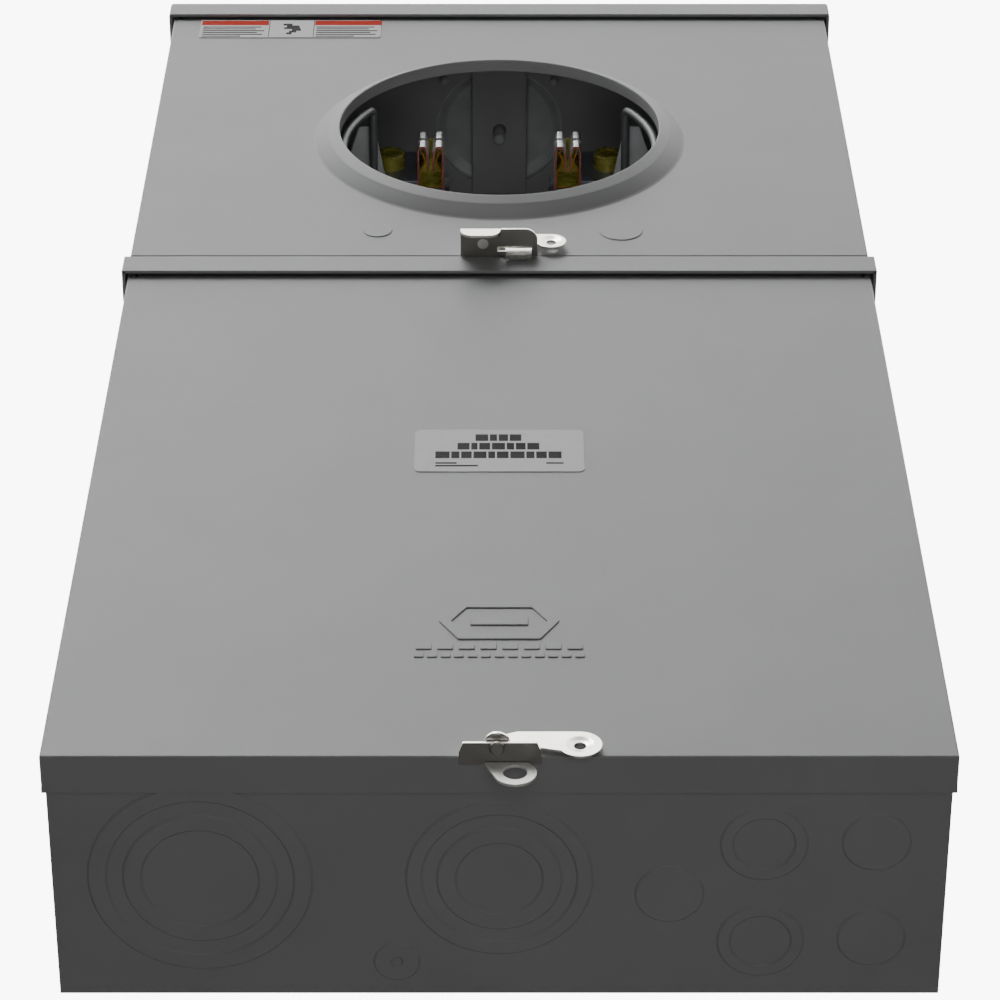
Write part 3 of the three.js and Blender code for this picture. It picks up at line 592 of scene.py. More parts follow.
class METERSOCKET_OT_bottom(bpy.types.Operator):
    """Press the bottom plate with its concentric knockouts"""
    bl_idname = "metersocket.bottom"
    bl_label = "Bottom endwall"

    def execute(self, context):
        sizes = context.scene.meter_socket
        low, high = span("bottom_endwall")
        step = sizes.knockout_step
        bm = bmesh.new()
        rim = outline(bm, [(low.x, low.y, low.z), (high.x, low.y, low.z),
                           (high.x, 0, low.z), (low.x, 0, low.z)])
        centres = [(x * MM, LOWER_FACE + depth * MM, low.z) for x, depth, _ in KNOCKOUTS]
        rings = [circle(bm, centre, (radii[0] + 0.8) * MM, "-Z", 72)
                 for centre, (_, _, radii) in zip(centres, KNOCKOUTS)]
        fill(bm, rim + [edge for ring in rings for edge in ring], (0, 0, -1))
        for centre, ring, (_, _, radii) in zip(centres, rings, KNOCKOUTS):
            steps = []
            for i, radius in enumerate(radii):
                start, end = (0, step) if i % 2 == 0 else (step, 0)
                steps += [((radius + 0.45) * MM, start), ((radius - 0.45) * MM, end)]
            last = draw_round(bm, ring, centre, "-Z", (radii[0] + 0.8) * MM, steps)
            cap(bm, last)
        face_out(bm, (0, 0, -1))
        thicken(bm, sizes.sheet)
        soften(bm, sizes.edge_radius, 2, 60)
        finish_piece("bottom_endwall_sheet", bm, ["paint"], "enclosure",
                     ["bottom_endwall"])
        return {"FINISHED"}


class METERSOCKET_OT_band(bpy.types.Operator):
    """Fold the band between the two covers"""
    bl_idname = "metersocket.band"
    bl_label = "Band"

    def execute(self, context):
        sizes = context.scene.meter_socket
        low, high = span("mid_rail")
        wrap = low.y + WRAP_REACH
        bm = bmesh.new()
        slab(bm, low, (high.x, wrap, high.z))
        gone = [f for f in bm.faces if f.normal.z < -0.5 or f.normal.y > 0.5]
        bmesh.ops.delete(bm, geom=gone, context="FACES")
        folds = [e for e in bm.edges if len(e.link_faces) == 2]
        soften(bm, sizes.fold_radius * 0.6, 4, edges=folds)
        thicken(bm, 1.6 * MM)
        soften(bm, sizes.edge_radius, 2, 60)
        finish_piece("mid_rail_sheet", bm, ["paint"], "enclosure", ["mid_rail"])
        return {"FINISHED"}


def cover_sheet(bm, face, bottom, top, side, flange, holes):
    """Flat face with its holes and its flanges folded back; the side flanges reach further."""
    rim = outline(bm, [(-side, face, bottom), (side, face, bottom), (side, face, top), (-side, face, top)])
    fill(bm, rim + holes, (0, -1, 0))
    wings = edges_where(bm, lambda at, way: abs(at.x) > side - TINY or at.z < bottom + TINY)
    second = pull(bm, wings, (0, flange, 0))
    sides = [e for e in second if all(abs(v.co.x) > side - TINY for v in e.verts)]
    pull(bm, sides, (0, COVER_RETURN - flange, 0))


def cover_folds(bm, face, bottom, side, flange):
    """The fold lines of a cover: round its face, and down its two lower corners."""
    def test(at, way):
        at_side = abs(at.x) > side - TINY
        at_bottom = at.z < bottom + TINY
        on_face = at.y < face + TINY and (at_side or at_bottom)
        return on_face or abs(way.y) > 0.9 and at.y < face + flange and at_side and at_bottom
    return edges_where(bm, test)


def cover_tongue(bm, back, top, high):
    """The strip at a cover's top that tucks behind the hood or the band."""
    slab(bm, (-TONGUE_HALF, back, top - 8 * MM), (TONGUE_HALF, back + 1.2 * MM, high))


class METERSOCKET_OT_meter_cover(bpy.types.Operator):
    """Draw the meter cover with its raised ring and two embossed discs"""
    bl_idname = "metersocket.meter_cover"
    bl_label = "Meter cover"

    def execute(self, context):
        sizes = context.scene.meter_socket
        low, high = span("meter_cover")
        top = high.z - TONGUE_RISE
        bm = bmesh.new()
        centre = (0, UPPER_FACE, OPENING.z)
        flange = 4 * MM
        foot = sizes.ring_radius + 0.9 * MM
        ring = circle(bm, centre, foot, "-Y", 128)
        discs = [((-60.4 * MM, UPPER_FACE, low.z + 27.3 * MM), 7.3 * MM),
                 ((60.4 * MM, UPPER_FACE, low.z + 27.3 * MM), 11 * MM)]
        rims = [circle(bm, place, radius, "-Y", 48) for place, radius in discs]
        cover_sheet(bm, UPPER_FACE, low.z, top, high.x, flange,
                    ring + [edge for rim in rims for edge in rim])
        bore = sizes.opening_radius
        lip = [(94.4, 1.6), (90.1, 4.85), (89.5, 5.3), (89.1, 5.65), (88.6, 5.9), (88, 6.15),
               (84.7, 7.6), (84.1, 7.85), (83.6, 8), (83.15, 7.8), (83, 7.4), (83, 6.8)]
        steps = [(sizes.ring_radius, 0.25 * MM), (sizes.ring_radius - 0.9 * MM, 1.1 * MM)]
        steps += [(radius * MM, rise * MM) for radius, rise in lip]
        steps.append((bore, 1.5 * MM))
        draw_round(bm, ring, centre, "-Y", foot, steps)
        for (place, radius), rim in zip(discs, rims):
            last = draw_round(bm, rim, place, "-Y", radius, [
                (radius - 0.25 * MM, 0.45 * MM), (radius - 0.6 * MM, 0.55 * MM)])
            cap(bm, last)
        face_out(bm, (0, -1, 0))
        soften(bm, sizes.fold_radius * 0.6, 4, edges=cover_folds(bm, UPPER_FACE, low.z, high.x, flange))
        thicken(bm, sizes.cover_sheet)
        soften(bm, sizes.edge_radius, 2, 70)
        cover_tongue(bm, UPPER_FACE + sizes.cover_sheet, top, high.z)
        finish_piece("meter_cover_sheet", bm, ["paint"], "meter_cover",
                     ["meter_cover"])
        return {"FINISHED"}


def badge(bm, face, centre_z):
    """Add a plain embossed emblem: a six-sided frame around a bar, over two rows of dashes."""
    rise = 0.7 * MM
    parts = bmesh.new()
    outer = [(-25, 0), (-17, 14), (17, 14), (25, 0), (17, -14), (-17, -14)]
    ring = outline(parts, [(x * MM, face - rise, centre_z + z * MM) for x, z in outer])
    gap = outline(parts, [(0.8 * x * MM, face - rise, centre_z + 0.74 * z * MM) for x, z in outer])
    fill(parts, ring + gap, (0, -1, 0))
    made = bmesh.ops.extrude_face_region(parts, geom=parts.faces[:], use_keep_orig=True)["geom"]
    verts = [item for item in made if isinstance(item, bmesh.types.BMVert)]
    bmesh.ops.translate(parts, vec=(0, rise, 0), verts=verts)
    bmesh.ops.recalc_face_normals(parts, faces=parts.faces[:])
    soften(parts, 0.4 * MM, 2, 60)
    merge(bm, parts)
    low = bmesh.new()
    slab(low, (-12 * MM, face - rise, centre_z - 3 * MM), (12 * MM, face, centre_z + 3 * MM))
    for row, (count, pitch, height) in enumerate(((8, 8.9, 5), (13, 5.5, 3))):
        z = centre_z - (19 + 7 * row) * MM
        for i in range(count):
            x = (i - (count - 1) / 2) * pitch * MM
            slab(low, (x - 0.37 * pitch * MM, face - rise * 0.8, z - height / 2 * MM),
                 (x + 0.37 * pitch * MM, face, z + height / 2 * MM))
    soften(low, 0.3 * MM, 2, 60)
    merge(bm, low)


class METERSOCKET_OT_breaker_cover(bpy.types.Operator):
    """Fold the lower cover and press its plain badge"""
    bl_idname = "metersocket.breaker_cover"
    bl_label = "Breaker cover"

    def execute(self, context):
        sizes = context.scene.meter_socket
        low, high = span("breaker_cover")
        top = high.z - TONGUE_RISE
        bm = bmesh.new()
        flange = 14.4 * MM
        cover_sheet(bm, LOWER_FACE, low.z, top, high.x, flange, [])
        soften(bm, sizes.fold_radius * 0.7, 4, edges=cover_folds(bm, LOWER_FACE, low.z, high.x, flange))
        thicken(bm, sizes.cover_sheet)
        soften(bm, sizes.edge_radius, 2, 70)
        cover_tongue(bm, LOWER_FACE + sizes.cover_sheet, top, high.z)
        badge(bm, LOWER_FACE, low.z + 99 * MM)
        finish_piece("breaker_cover_sheet", bm, ["paint"], "breaker_cover",
                     ["breaker_cover"])
        return {"FINISHED"}


# ---- Hub closure ----

class METERSOCKET_OT_hub(bpy.types.Operator):
    """Close the hub opening: dished plate, strap, bolt and corner screws"""
    bl_idname = "metersocket.hub"
    bl_label = "Hub closure"

    def execute(self, context):
        low, high = span("hub_closing_plate")
        centre = Vector((0, (low.y + high.y) / 2, low.z))
        half = (high.x - low.x) / 2
        bm = bmesh.new()
        points = [(x, y, low.z) for x, y in rounded(
            (-half, centre.y - half), (half, centre.y + half), 8 * MM, 6)]
        ring = circle(bm, centre, 35 * MM, "+Z", 64)
        fill(bm, outline(bm, points) + ring, (0, 0, 1))
        last = draw_round(bm, ring, centre, "+Z", 35 * MM, [
            (34 * MM, 0.4 * MM), (31.5 * MM, 2.2 * MM), (30 * MM, 2.6 * MM), (8 * MM, 2.8 * MM)])
        cap(bm, last)
        face_out(bm, (0, 0, 1))
        bmesh.ops.translate(bm, vec=(0, 0, 1.6 * MM), verts=bm.verts[:])
        thicken(bm, 1.5 * MM)
        soften(bm, 0.3 * MM, 2, 60)
        finish_piece("hub_plate_pressing", bm, ["zinc"], "enclosure",
                     ["hub_closing_plate"])

        low, high = span("hub_strap")
        bm = bmesh.new()
        chamfer = 5 * MM
        points = [(low.x + chamfer, low.y), (high.x - chamfer, low.y), (high.x, low.y + chamfer),
                  (high.x, high.y), (low.x, high.y), (low.x, low.y + chamfer)]
        plate(bm, [(x, y, high.z) for x, y in points], (0, 0, low.z - high.z),
              [(Vector((0, centre.y, high.z)), 3.6 * MM, "+Z")])
        soften(bm, 0.6 * MM, 3, 60)
        finish_piece("hub_strap_bar", bm, ["paint"], "enclosure", ["hub_strap"])

        low, high = span("hub_bolt")
        shank, head = 3.2 * MM, 6.4 * MM
        head_low = span("hub_closing_plate")[1].z + 0.3 * MM
        bm = bmesh.new()
        turned(bm, (0, centre.y, low.z), "+Z", [
            (0, 0), (shank - 0.8 * MM, 0), (shank, 0.9 * MM), (shank, head_low - low.z),
            (0, head_low - low.z)], 32)
        thick = 4.4 * MM
        place = facing("+Z", (0, centre.y, head_low + thick / 2))
        bmesh.ops.create_cone(bm, segments=6, radius1=head, radius2=head, depth=thick,
                              cap_ends=True, matrix=place)
        soften(bm, 0.4 * MM, 2, 50)
        finish_piece("hub_bolt_turned", bm, ["zinc"], "enclosure", ["hub_bolt"])

        for i, at in enumerate(hub_corners(), start=1):
            low, high = span(f"hub_screw_{i}")
            length = high.z - low.z
            bm = bmesh.new()
            turned(bm, (at.x, at.y, low.z), "+Z", [
                (0, 0), (1.4 * MM, 0), (2.2 * MM, 0.9 * MM), (2.2 * MM, length - 2.4 * MM),
                (4.2 * MM, length - 2.4 * MM), (4.2 * MM, length - 1.2 * MM),
                (3.2 * MM, length - 0.3 * MM), (0, length)], 24)
            finish_piece(f"hub_screw_{i}_turned", bm, ["zinc"], "enclosure",
                         [f"hub_screw_{i}"])
        return {"FINISHED"}


# ---- Meter socket ----

class METERSOCKET_OT_jaws(bpy.types.Operator):
    """Bend the four spring jaws and their backing springs"""
    bl_idname = "metersocket.jaws"
    bl_label = "Jaws"

    def execute(self, context):
        for row in ROWS:
            for name, _ in SIDES:
                self.jaw(f"{row}_{name}")
        return {"FINISHED"}

    def jaw(self, name):
        low, high = span(f"jaw_{name}")
        at = (low + high) / 2
        sheet = 1.2 * MM
        tip = low.y + sheet / 2
        base = high.y - sheet / 2
        curl = [(2.2, 1.5), (2.5, 0.6), (3, 0.1), (3.6, 0), (4.9, 0),
                (5.6, 0.1), (6.2, 0.7), (6.7, 1.8), (7.1, 3.6)]
        half = [(0.9, 15), (0.9, 6.8), (1.1, 5), (1.6, 3)] + curl
        half = [(x * MM, tip + y * MM) for x, y in half] + [(7.1 * MM, base - 1.5 * MM), (6.6 * MM, base)]
        path = half + [(-x, y) for x, y in reversed(half)]
        bm = bmesh.new()
        width = high.z - low.z
        rows = (0, width / 2 - 1.2 * MM, width / 2 + 1.2 * MM, width)
        verts = [bm.verts.new((at.x + x, y, low.z)) for x, y in path]
        edges = [bm.edges.new(pair) for pair in zip(verts, verts[1:])]
        for start, end in zip(rows, rows[1:]):
            edges = pull(bm, edges, (0, 0, end - start))
        slit = [f for f in bm.faces if abs(f.calc_center_median().z - at.z) < 1.2 * MM
                and f.calc_center_median().y < tip + 12 * MM]
        bmesh.ops.delete(bm, geom=slit, context="FACES")
        bmesh.ops.recalc_face_normals(bm, faces=bm.faces[:])
        bmesh.ops.solidify(bm, geom=bm.faces[:], thickness=sheet)
        soften(bm, 0.15 * MM, 1, 70)
        finish_piece(f"jaw_{name}_bent", bm, ["tin", "copper_edge"], "enclosure",
                     [f"jaw_{name}"],
                     lambda face: abs(face.calc_center_median().z - at.z) > width / 2 - 0.1 * MM)

        spring_low, spring_high = span(f"jaw_spring_{name}")
        leg = [(4.4, 3.8), (3.3, 6), (2.5, 8.4), (2.6, 10.2), (3.6, 12.4), (5, 14.4), (5.5, 16.4), (5.6, 22)]
        leg = [(x * MM, tip + y * MM) for x, y in leg] + [(5.2 * MM, spring_high.y - 0.4 * MM)]
        line = leg + [(-x, y) for x, y in reversed(leg)]
        bm = bmesh.new()
        height = spring_high.z - spring_low.z
        strip(bm, [(at.x + x, y, spring_low.z + height / 2) for x, y in line], height, 0.7 * MM)
        slab(bm, (at.x - 5.4 * MM, tip + 4.5 * MM, spring_high.z - 0.7 * MM),
             (at.x + 5.4 * MM, spring_high.y - 0.3 * MM, spring_high.z))
        finish_piece(f"jaw_spring_{name}_bent", bm, ["yellow", "yellow_edge"],
                     "enclosure", [f"jaw_spring_{name}"],
                     lambda face: face.normal.z < -0.8 and face.calc_center_median().z < at.z)


def socket_screw(bm, centre, radius, length, socket, depth):
    """A front-facing set screw with a hexagon socket; centre is its front end."""
    edge = 0.9 * MM
    centre = Vector(centre)
    rim = circle(bm, centre, radius - edge, "-Y", 48)
    hexagon = circle(bm, centre, socket, "-Y", 6)
    fill(bm, rim + hexagon, (0, -1, 0))
    steps = [(radius, -edge), (radius, -length), (radius * 0.6, -length)]
    cap(bm, draw_round(bm, rim, centre, "-Y", radius - edge, steps))
    flat = socket * 0.93
    cap(bm, draw_round(bm, hexagon, centre, "-Y", socket, [(flat, -0.4 * MM), (flat, -depth)]))
    bmesh.ops.recalc_face_normals(bm, faces=bm.faces[:])


class METERSOCKET_OT_lugs(bpy.types.Operator):
    """Cut the line lugs and breaker lugs, and turn their set screws"""
    bl_idname = "metersocket.lugs"
    bl_label = "Lugs"

    def execute(self, context):
        for name, side in SIDES:
            low, high = span(f"line_lug_{name}")
            inner, outer = (low.x, high.x) if side > 0 else (high.x, low.x)
            bus = span(f"load_bus_{name}")
            screw = span(f"line_set_screw_{name}")
            self.lug(f"line_lug_{name}", (outer - side * 30 * MM, outer), low.y,
                     high.y, high.z - 38 * MM, high.z, middle(f"line_set_screw_{name}").x, 9 * MM,
                     (inner, outer - side * 20 * MM, bus[0].y, bus[1].y, low.z))
            bm = bmesh.new()
            at = middle(f"line_set_screw_{name}")
            socket_screw(bm, (at.x, screw[0].y, at.z), 7.8 * MM, 18 * MM, 4.6 * MM, 6 * MM)
            finish_piece(f"line_set_screw_{name}_cut", bm, ["yellow"], "enclosure",
                         [f"line_set_screw_{name}"])

            low, high = span(f"breaker_lug_{name}")
            self.lug(f"breaker_lug_{name}", (low.x, high.x), low.y, high.y, low.z, high.z,
                     (low.x + high.x) / 2, 8 * MM, None)
            bm = bmesh.new()
            at = middle(f"breaker_lug_screw_{name}")
            front = span(f"breaker_lug_screw_{name}")[0].y
            socket_screw(bm, (at.x, front, at.z), 6 * MM, 14 * MM, 3.4 * MM, 5 * MM)
            finish_piece(f"breaker_lug_screw_{name}_cut", bm, ["zinc"], "enclosure",
                         [f"breaker_lug_screw_{name}"])
        return {"FINISHED"}

    def lug(self, node, across, front, back, bottom, top, bore_x, bore, tongue):
        bm = bmesh.new()
        x0, x1 = sorted(across)
        points = [(x0, front, bottom), (x1, front, bottom), (x1, back, bottom), (x0, back, bottom)]
        hole_y = max(front + bore + 3 * MM, back - bore - 3 * MM)
        plate(bm, points, (0, 0, top - bottom), [(Vector((bore_x, hole_y, bottom)), bore, "+Z")])
        if tongue:
            inner, outer, low_y, high_y, low_z = tongue
            x0, x1 = sorted((inner, outer))
            slab(bm, (x0, low_y, low_z), (x1, high_y, top - 20 * MM))
        soften(bm, 0.5 * MM, 2, 60)
        finish_piece(f"{node}_cut", bm, ["aluminium"], "enclosure", [node])


class METERSOCKET_OT_blocks(bpy.types.Operator):
    """Mould the two jaw blocks and the neutral bar's foot"""
    bl_idname = "metersocket.blocks"
    bl_label = "Insulators"

    def execute(self, context):
        for name, side in SIDES:
            low, high = span(f"jaw_block_{name}")
            bus = span(f"load_bus_{name}")
            bm = bmesh.new()
            inner = 24 * MM * side
            outer = 56 * MM * side
            x0, x1 = sorted((inner, outer))
            slab(bm, (x0, bus[1].y + 0.3 * MM, low.z), (x1, high.y, high.z))
            for reach, drop, front in ((18, 6, 46), (21, 3, 51)):
                x0, x1 = sorted((reach * MM * side, inner + side * MM))
                slab(bm, (x0, -front * MM, low.z + drop * MM), (x1, high.y, high.z - drop * MM))
            x0, x1 = sorted((22 * MM * side, 26 * MM * side))
            slab(bm, (x0, low.y, low.z + 30 * MM), (x1, -40 * MM, high.z - 30 * MM))
            soften(bm, 0.8 * MM, 3, 60)
            finish_piece(f"jaw_block_{name}_moulding", bm, ["insulator"], "enclosure",
                         [f"jaw_block_{name}"])
        low, high = span("neutral_foot")
        bm = bmesh.new()
        slab(bm, low, high)
        slab(bm, (low.x - 3 * MM, high.y - 5 * MM, low.z - 6 * MM),
             (high.x + 3 * MM, high.y, high.z + 6 * MM))
        soften(bm, 0.8 * MM, 3, 60)
        finish_piece("neutral_foot_moulding", bm, ["insulator"], "enclosure",
                     ["neutral_foot"])
        return {"FINISHED"}


class METERSOCKET_OT_buses(bpy.types.Operator):
    """Shear the flat load buses"""
    bl_idname = "metersocket.buses"
    bl_label = "Load buses"

    def execute(self, context):
        for name, _ in SIDES:
            low, high = span(f"load_bus_{name}")
            bm = bmesh.new()
            slab(bm, low, high)
            soften(bm, 0.4 * MM, 2, 60)
            finish_piece(f"load_bus_{name}_bar", bm, ["tin"], "enclosure",
                         [f"load_bus_{name}"])
        return {"FINISHED"}


class METERSOCKET_OT_rests(bpy.types.Operator):
    """Bend the wire bails and fold their brackets"""
    bl_idname = "metersocket.rests"
    bl_label = "Meter rests"

    def execute(self, context):
        radius = context.scene.meter_socket.wire_radius
        for name, side in SIDES:
            low, high = span(f"meter_rest_{name}")
            front = low.y + radius
            turn = 3 * MM
            outer = max(abs(low.x), abs(high.x)) - radius
            half = math.asin((high.z - OPENING.z - radius - 0.8 * turn) / outer)
            self.wire(f"meter_rest_{name}", side, radius, (front, high.y), outer, half, turn)
            self.bracket(name, side)
        return {"FINISHED"}

    def wire(self, node, side, radius, depth, outer, half, turn):
        """One bail: a straight leg, a bend, the arc the meter sits on, a bend and the other leg."""
        front, back = depth
        knee = front + turn
        inward = Vector((0, 1, 0))
        way = Vector((side * math.sin(half), 0, math.cos(half)))
        across = side * outer * math.cos(half)
        start = Vector((across, knee, OPENING.z - outer * math.sin(half)))
        end = Vector((across, knee, OPENING.z + outer * math.sin(half)))
        corner = start - way * turn
        bm = bmesh.new()
        ring = circle(bm, (corner.x, back, corner.z), radius, "-Y", 16)
        cap(bm, ring)
        ring = pull(bm, ring, (0, knee - back, 0))
        ring = sweep(bm, ring, start, way.cross(inward), math.pi / 2, 5)
        ring = sweep(bm, ring, (0, front, OPENING.z), (0, -side, 0), 2 * half, 24)
        way.z = -way.z
        ring = sweep(bm, ring, end, inward.cross(way), math.pi / 2, 5)
        ring = pull(bm, ring, (0, back - knee, 0))
        cap(bm, ring)
        bmesh.ops.recalc_face_normals(bm, faces=bm.faces[:])
        finish_piece(f"{node}_wire", bm, ["wire"], "enclosure", [node])

    def bracket(self, name, side):
        low, high = span(f"rest_bracket_{name}")
        sheet = 1.5 * MM
        bm = bmesh.new()
        gusset = [(75, -106), (67, -106), (60, -70), (60, -36), (86, -36), (86, -72)]
        for z, rise in ((low.z, sheet), (high.z - sheet, sheet)):
            plate(bm, [(side * x * MM, y * MM, z) for x, y in gusset], (0, 0, rise))
        x0, x1 = sorted((side * 84.5 * MM, side * 86 * MM))
        slab(bm, (x0, -72 * MM, low.z + 0.1 * MM), (x1, high.y, high.z - 0.1 * MM))
        x0, x1 = sorted((side * 85 * MM, side * 102 * MM))
        slab(bm, (x0, high.y - sheet, low.z + 0.1 * MM), (x1, high.y, high.z - 0.1 * MM))
        soften(bm, 0.3 * MM, 2, 60)
        finish_piece(f"rest_bracket_{name}_folded", bm, ["zinc"], "enclosure",
                     [f"rest_bracket_{name}"])


# ---- Breaker compartment ----

class METERSOCKET_OT_breaker(bpy.types.Operator):
    """Mould the two-pole breaker's case"""
    bl_idname = "metersocket.breaker"
    bl_label = "Main breaker"

    def execute(self, context):
        low, high = span("breaker_case")
        bm = bmesh.new()
        slab(bm, (low.x, low.y + 8 * MM, low.z), (-0.3 * MM, high.y, high.z))
        slab(bm, (0.3 * MM, low.y + 8 * MM, low.z), (high.x, high.y, high.z))
        centre = (low.z + high.z) / 2
        half, rise, slot_half, slot_rise = 46 * MM, 33 * MM, 9 * MM, 22 * MM
        for x0, x1, z0, z1 in ((-half, -slot_half, -rise, rise), (slot_half, half, -rise, rise),
                               (-slot_half, slot_half, -rise, -slot_rise),
                               (-slot_half, slot_half, slot_rise, rise)):
            slab(bm, (x0, low.y, centre + z0), (x1, low.y + 9 * MM, centre + z1))
        soften(bm, 0.7 * MM, 3, 60)
        finish_piece("breaker_case_moulding", bm, ["phenolic"], "enclosure",
                     ["breaker_case"])
        return {"FINISHED"}


class METERSOCKET_OT_handle(bpy.types.Operator):
    """Mould the breaker's handle"""
    bl_idname = "metersocket.handle"
    bl_label = "Breaker handle"

    def execute(self, context):
        low, high = span("breaker_handle")
        case_low, case_high = span("breaker_case")
        pivot = Vector((0, -76 * MM, (case_low.z + case_high.z) / 2))
        profile = [(8, -6), (-14, -6), (-31, -4.5), (-33, -2.5), (-33, 2.5), (-31, 4.5), (-14, 6), (8, 6)]
        bm = bmesh.new()
        plate(bm, [(low.x, y * MM, z * MM) for y, z in profile], (high.x - low.x, 0, 0))
        soften(bm, 1 * MM, 3, 30)
        for ridge in (-20, -23, -26):
            slab(bm, (low.x + 1.5 * MM, (ridge - 0.5) * MM, -6.2 * MM),
                 (high.x - 1.5 * MM, (ridge + 0.5) * MM, 6.2 * MM))
        tilt = Matrix.Translation(pivot) @ Matrix.Rotation(math.radians(-20), 4, "X")
        bmesh.ops.transform(bm, matrix=tilt, verts=bm.verts[:])
        finish_piece("breaker_handle_moulding", bm, ["phenolic"], "breaker_handle",
                     ["breaker_handle"])
        return {"FINISHED"}


class METERSOCKET_OT_dead_front(bpy.types.Operator):
    """Fold the dead front round the breaker and the pan behind it"""
    bl_idname = "metersocket.dead_front"
    bl_label = "Dead front and pan"

    def execute(self, context):
        sizes = context.scene.meter_socket
        low, high = span("dead_front")
        window = middle("breaker_case").z
        bm = bmesh.new()
        rim = outline(bm, [(low.x, low.y, low.z), (high.x, low.y, low.z),
                           (high.x, low.y, high.z), (low.x, low.y, high.z)])
        wide, tall = 48 * MM, 35 * MM
        points = [(x, low.y, z) for x, z in rounded(
            (-wide, window - tall), (wide, window + tall), 4 * MM, 6)]
        fill(bm, rim + outline(bm, points), (0, -1, 0))
        wings = edges_where(bm, lambda at, way: abs(at.x) > high.x - TINY)
        pull(bm, wings, (0, high.y - low.y, 0))
        folds = edges_where(bm, lambda at, way: abs(at.x) > high.x - TINY and at.y < low.y + TINY)
        face_out(bm, (0, -1, 0))
        soften(bm, sizes.fold_radius, 4, edges=folds)
        thicken(bm, sizes.cover_sheet)
        soften(bm, sizes.edge_radius, 2, 60)
        finish_piece("dead_front_sheet", bm, ["paint"], "enclosure", ["dead_front"])

        low, high = span("breaker_pan")
        side = high.x - 11 * MM
        bm = bmesh.new()
        slab(bm, (-side, low.y, low.z), (side, high.y, high.z))
        gone = [f for f in bm.faces if abs(f.normal.z) > 0.5 or f.normal.y > 0.5]
        bmesh.ops.delete(bm, geom=gone, context="FACES")
        for sign in (-1, 1):
            foot = edges_where(bm, lambda at, way: at.x * sign > side - TINY and at.y > high.y - TINY)
            pull(bm, foot, (sign * 11 * MM, 0, 0))
        folds = [e for e in bm.edges if len(e.link_faces) == 2]
        soften(bm, sizes.fold_radius * 1.4, 4, edges=folds)
        thicken(bm, 1.6 * MM)
        soften(bm, sizes.edge_radius, 2, 60)
        finish_piece("breaker_pan_sheet", bm, ["zinc"], "enclosure", ["breaker_pan"])
        return {"FINISHED"}


class METERSOCKET_OT_bars(bpy.types.Operator):
    """Cut the neutral bar and the grounding lug, and finish the bar's slotted screws"""
    bl_idname = "metersocket.bars"
    bl_label = "Neutral and ground"

    def execute(self, context):
        low, high = span("neutral_bar")
        bm = bmesh.new()
        bores = [(Vector((low.x, low.y + 11 * MM, middle(f"neutral_screw_{i}").z)), 5.5 * MM, "+X")
                 for i in (1, 2, 3)]
        points = [(low.x, low.y, low.z), (low.x, high.y, low.z),
                  (low.x, high.y, high.z), (low.x, low.y, high.z)]
        plate(bm, points, (high.x - low.x, 0, 0), bores)
        soften(bm, 0.5 * MM, 2, 60)
        finish_piece("neutral_bar_cut", bm, ["aluminium"], "enclosure",
                     ["neutral_bar"])

        low, high = span("ground_lug")
        centre = (low.x + high.x) / 2
        bm = bmesh.new()
        half = 8 * MM
        points = [(centre - half, low.y, low.z), (centre + half, low.y, low.z),
                  (centre + half, high.y - 2.5 * MM, low.z), (centre - half, high.y - 2.5 * MM, low.z)]
        plate(bm, points, (0, 0, 20 * MM), [(Vector((centre, low.y + 7 * MM, low.z)), 4 * MM, "+Z")])
        slab(bm, (low.x, high.y - 2.6 * MM, low.z), (high.x, high.y, high.z))
        soften(bm, 0.5 * MM, 2, 60)
        finish_piece("ground_lug_cut", bm, ["aluminium"], "enclosure",
                     ["ground_lug"])

        for i in (1, 2, 3):
            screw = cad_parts[f"neutral_screw_{i}"]
            screw.data.materials.clear()
            screw.data.materials.append(FINISHES["zinc"])
        return {"FINISHED"}


# ---- Latches ----

def pressed_flag(bm, points, plane, hole, thickness):
    """A flat flag that faces the front, with a padlock hole pressed into a dimple; hole is (x, z)."""
    rim = outline(bm, [(x, plane, z) for x, z in points])
    centre = Vector((hole[0], plane, hole[1]))
    ring = circle(bm, centre, 5.6 * MM, "-Y", 40)
    fill(bm, rim + ring, (0, -1, 0))
    draw_round(bm, ring, centre, "-Y", 5.6 * MM, [
        (5 * MM, -0.15 * MM), (4.2 * MM, -0.6 * MM), (3 * MM, -0.95 * MM), (2.4 * MM, -1 * MM)])
    face_out(bm, (0, -1, 0))
    thicken(bm, thickness)


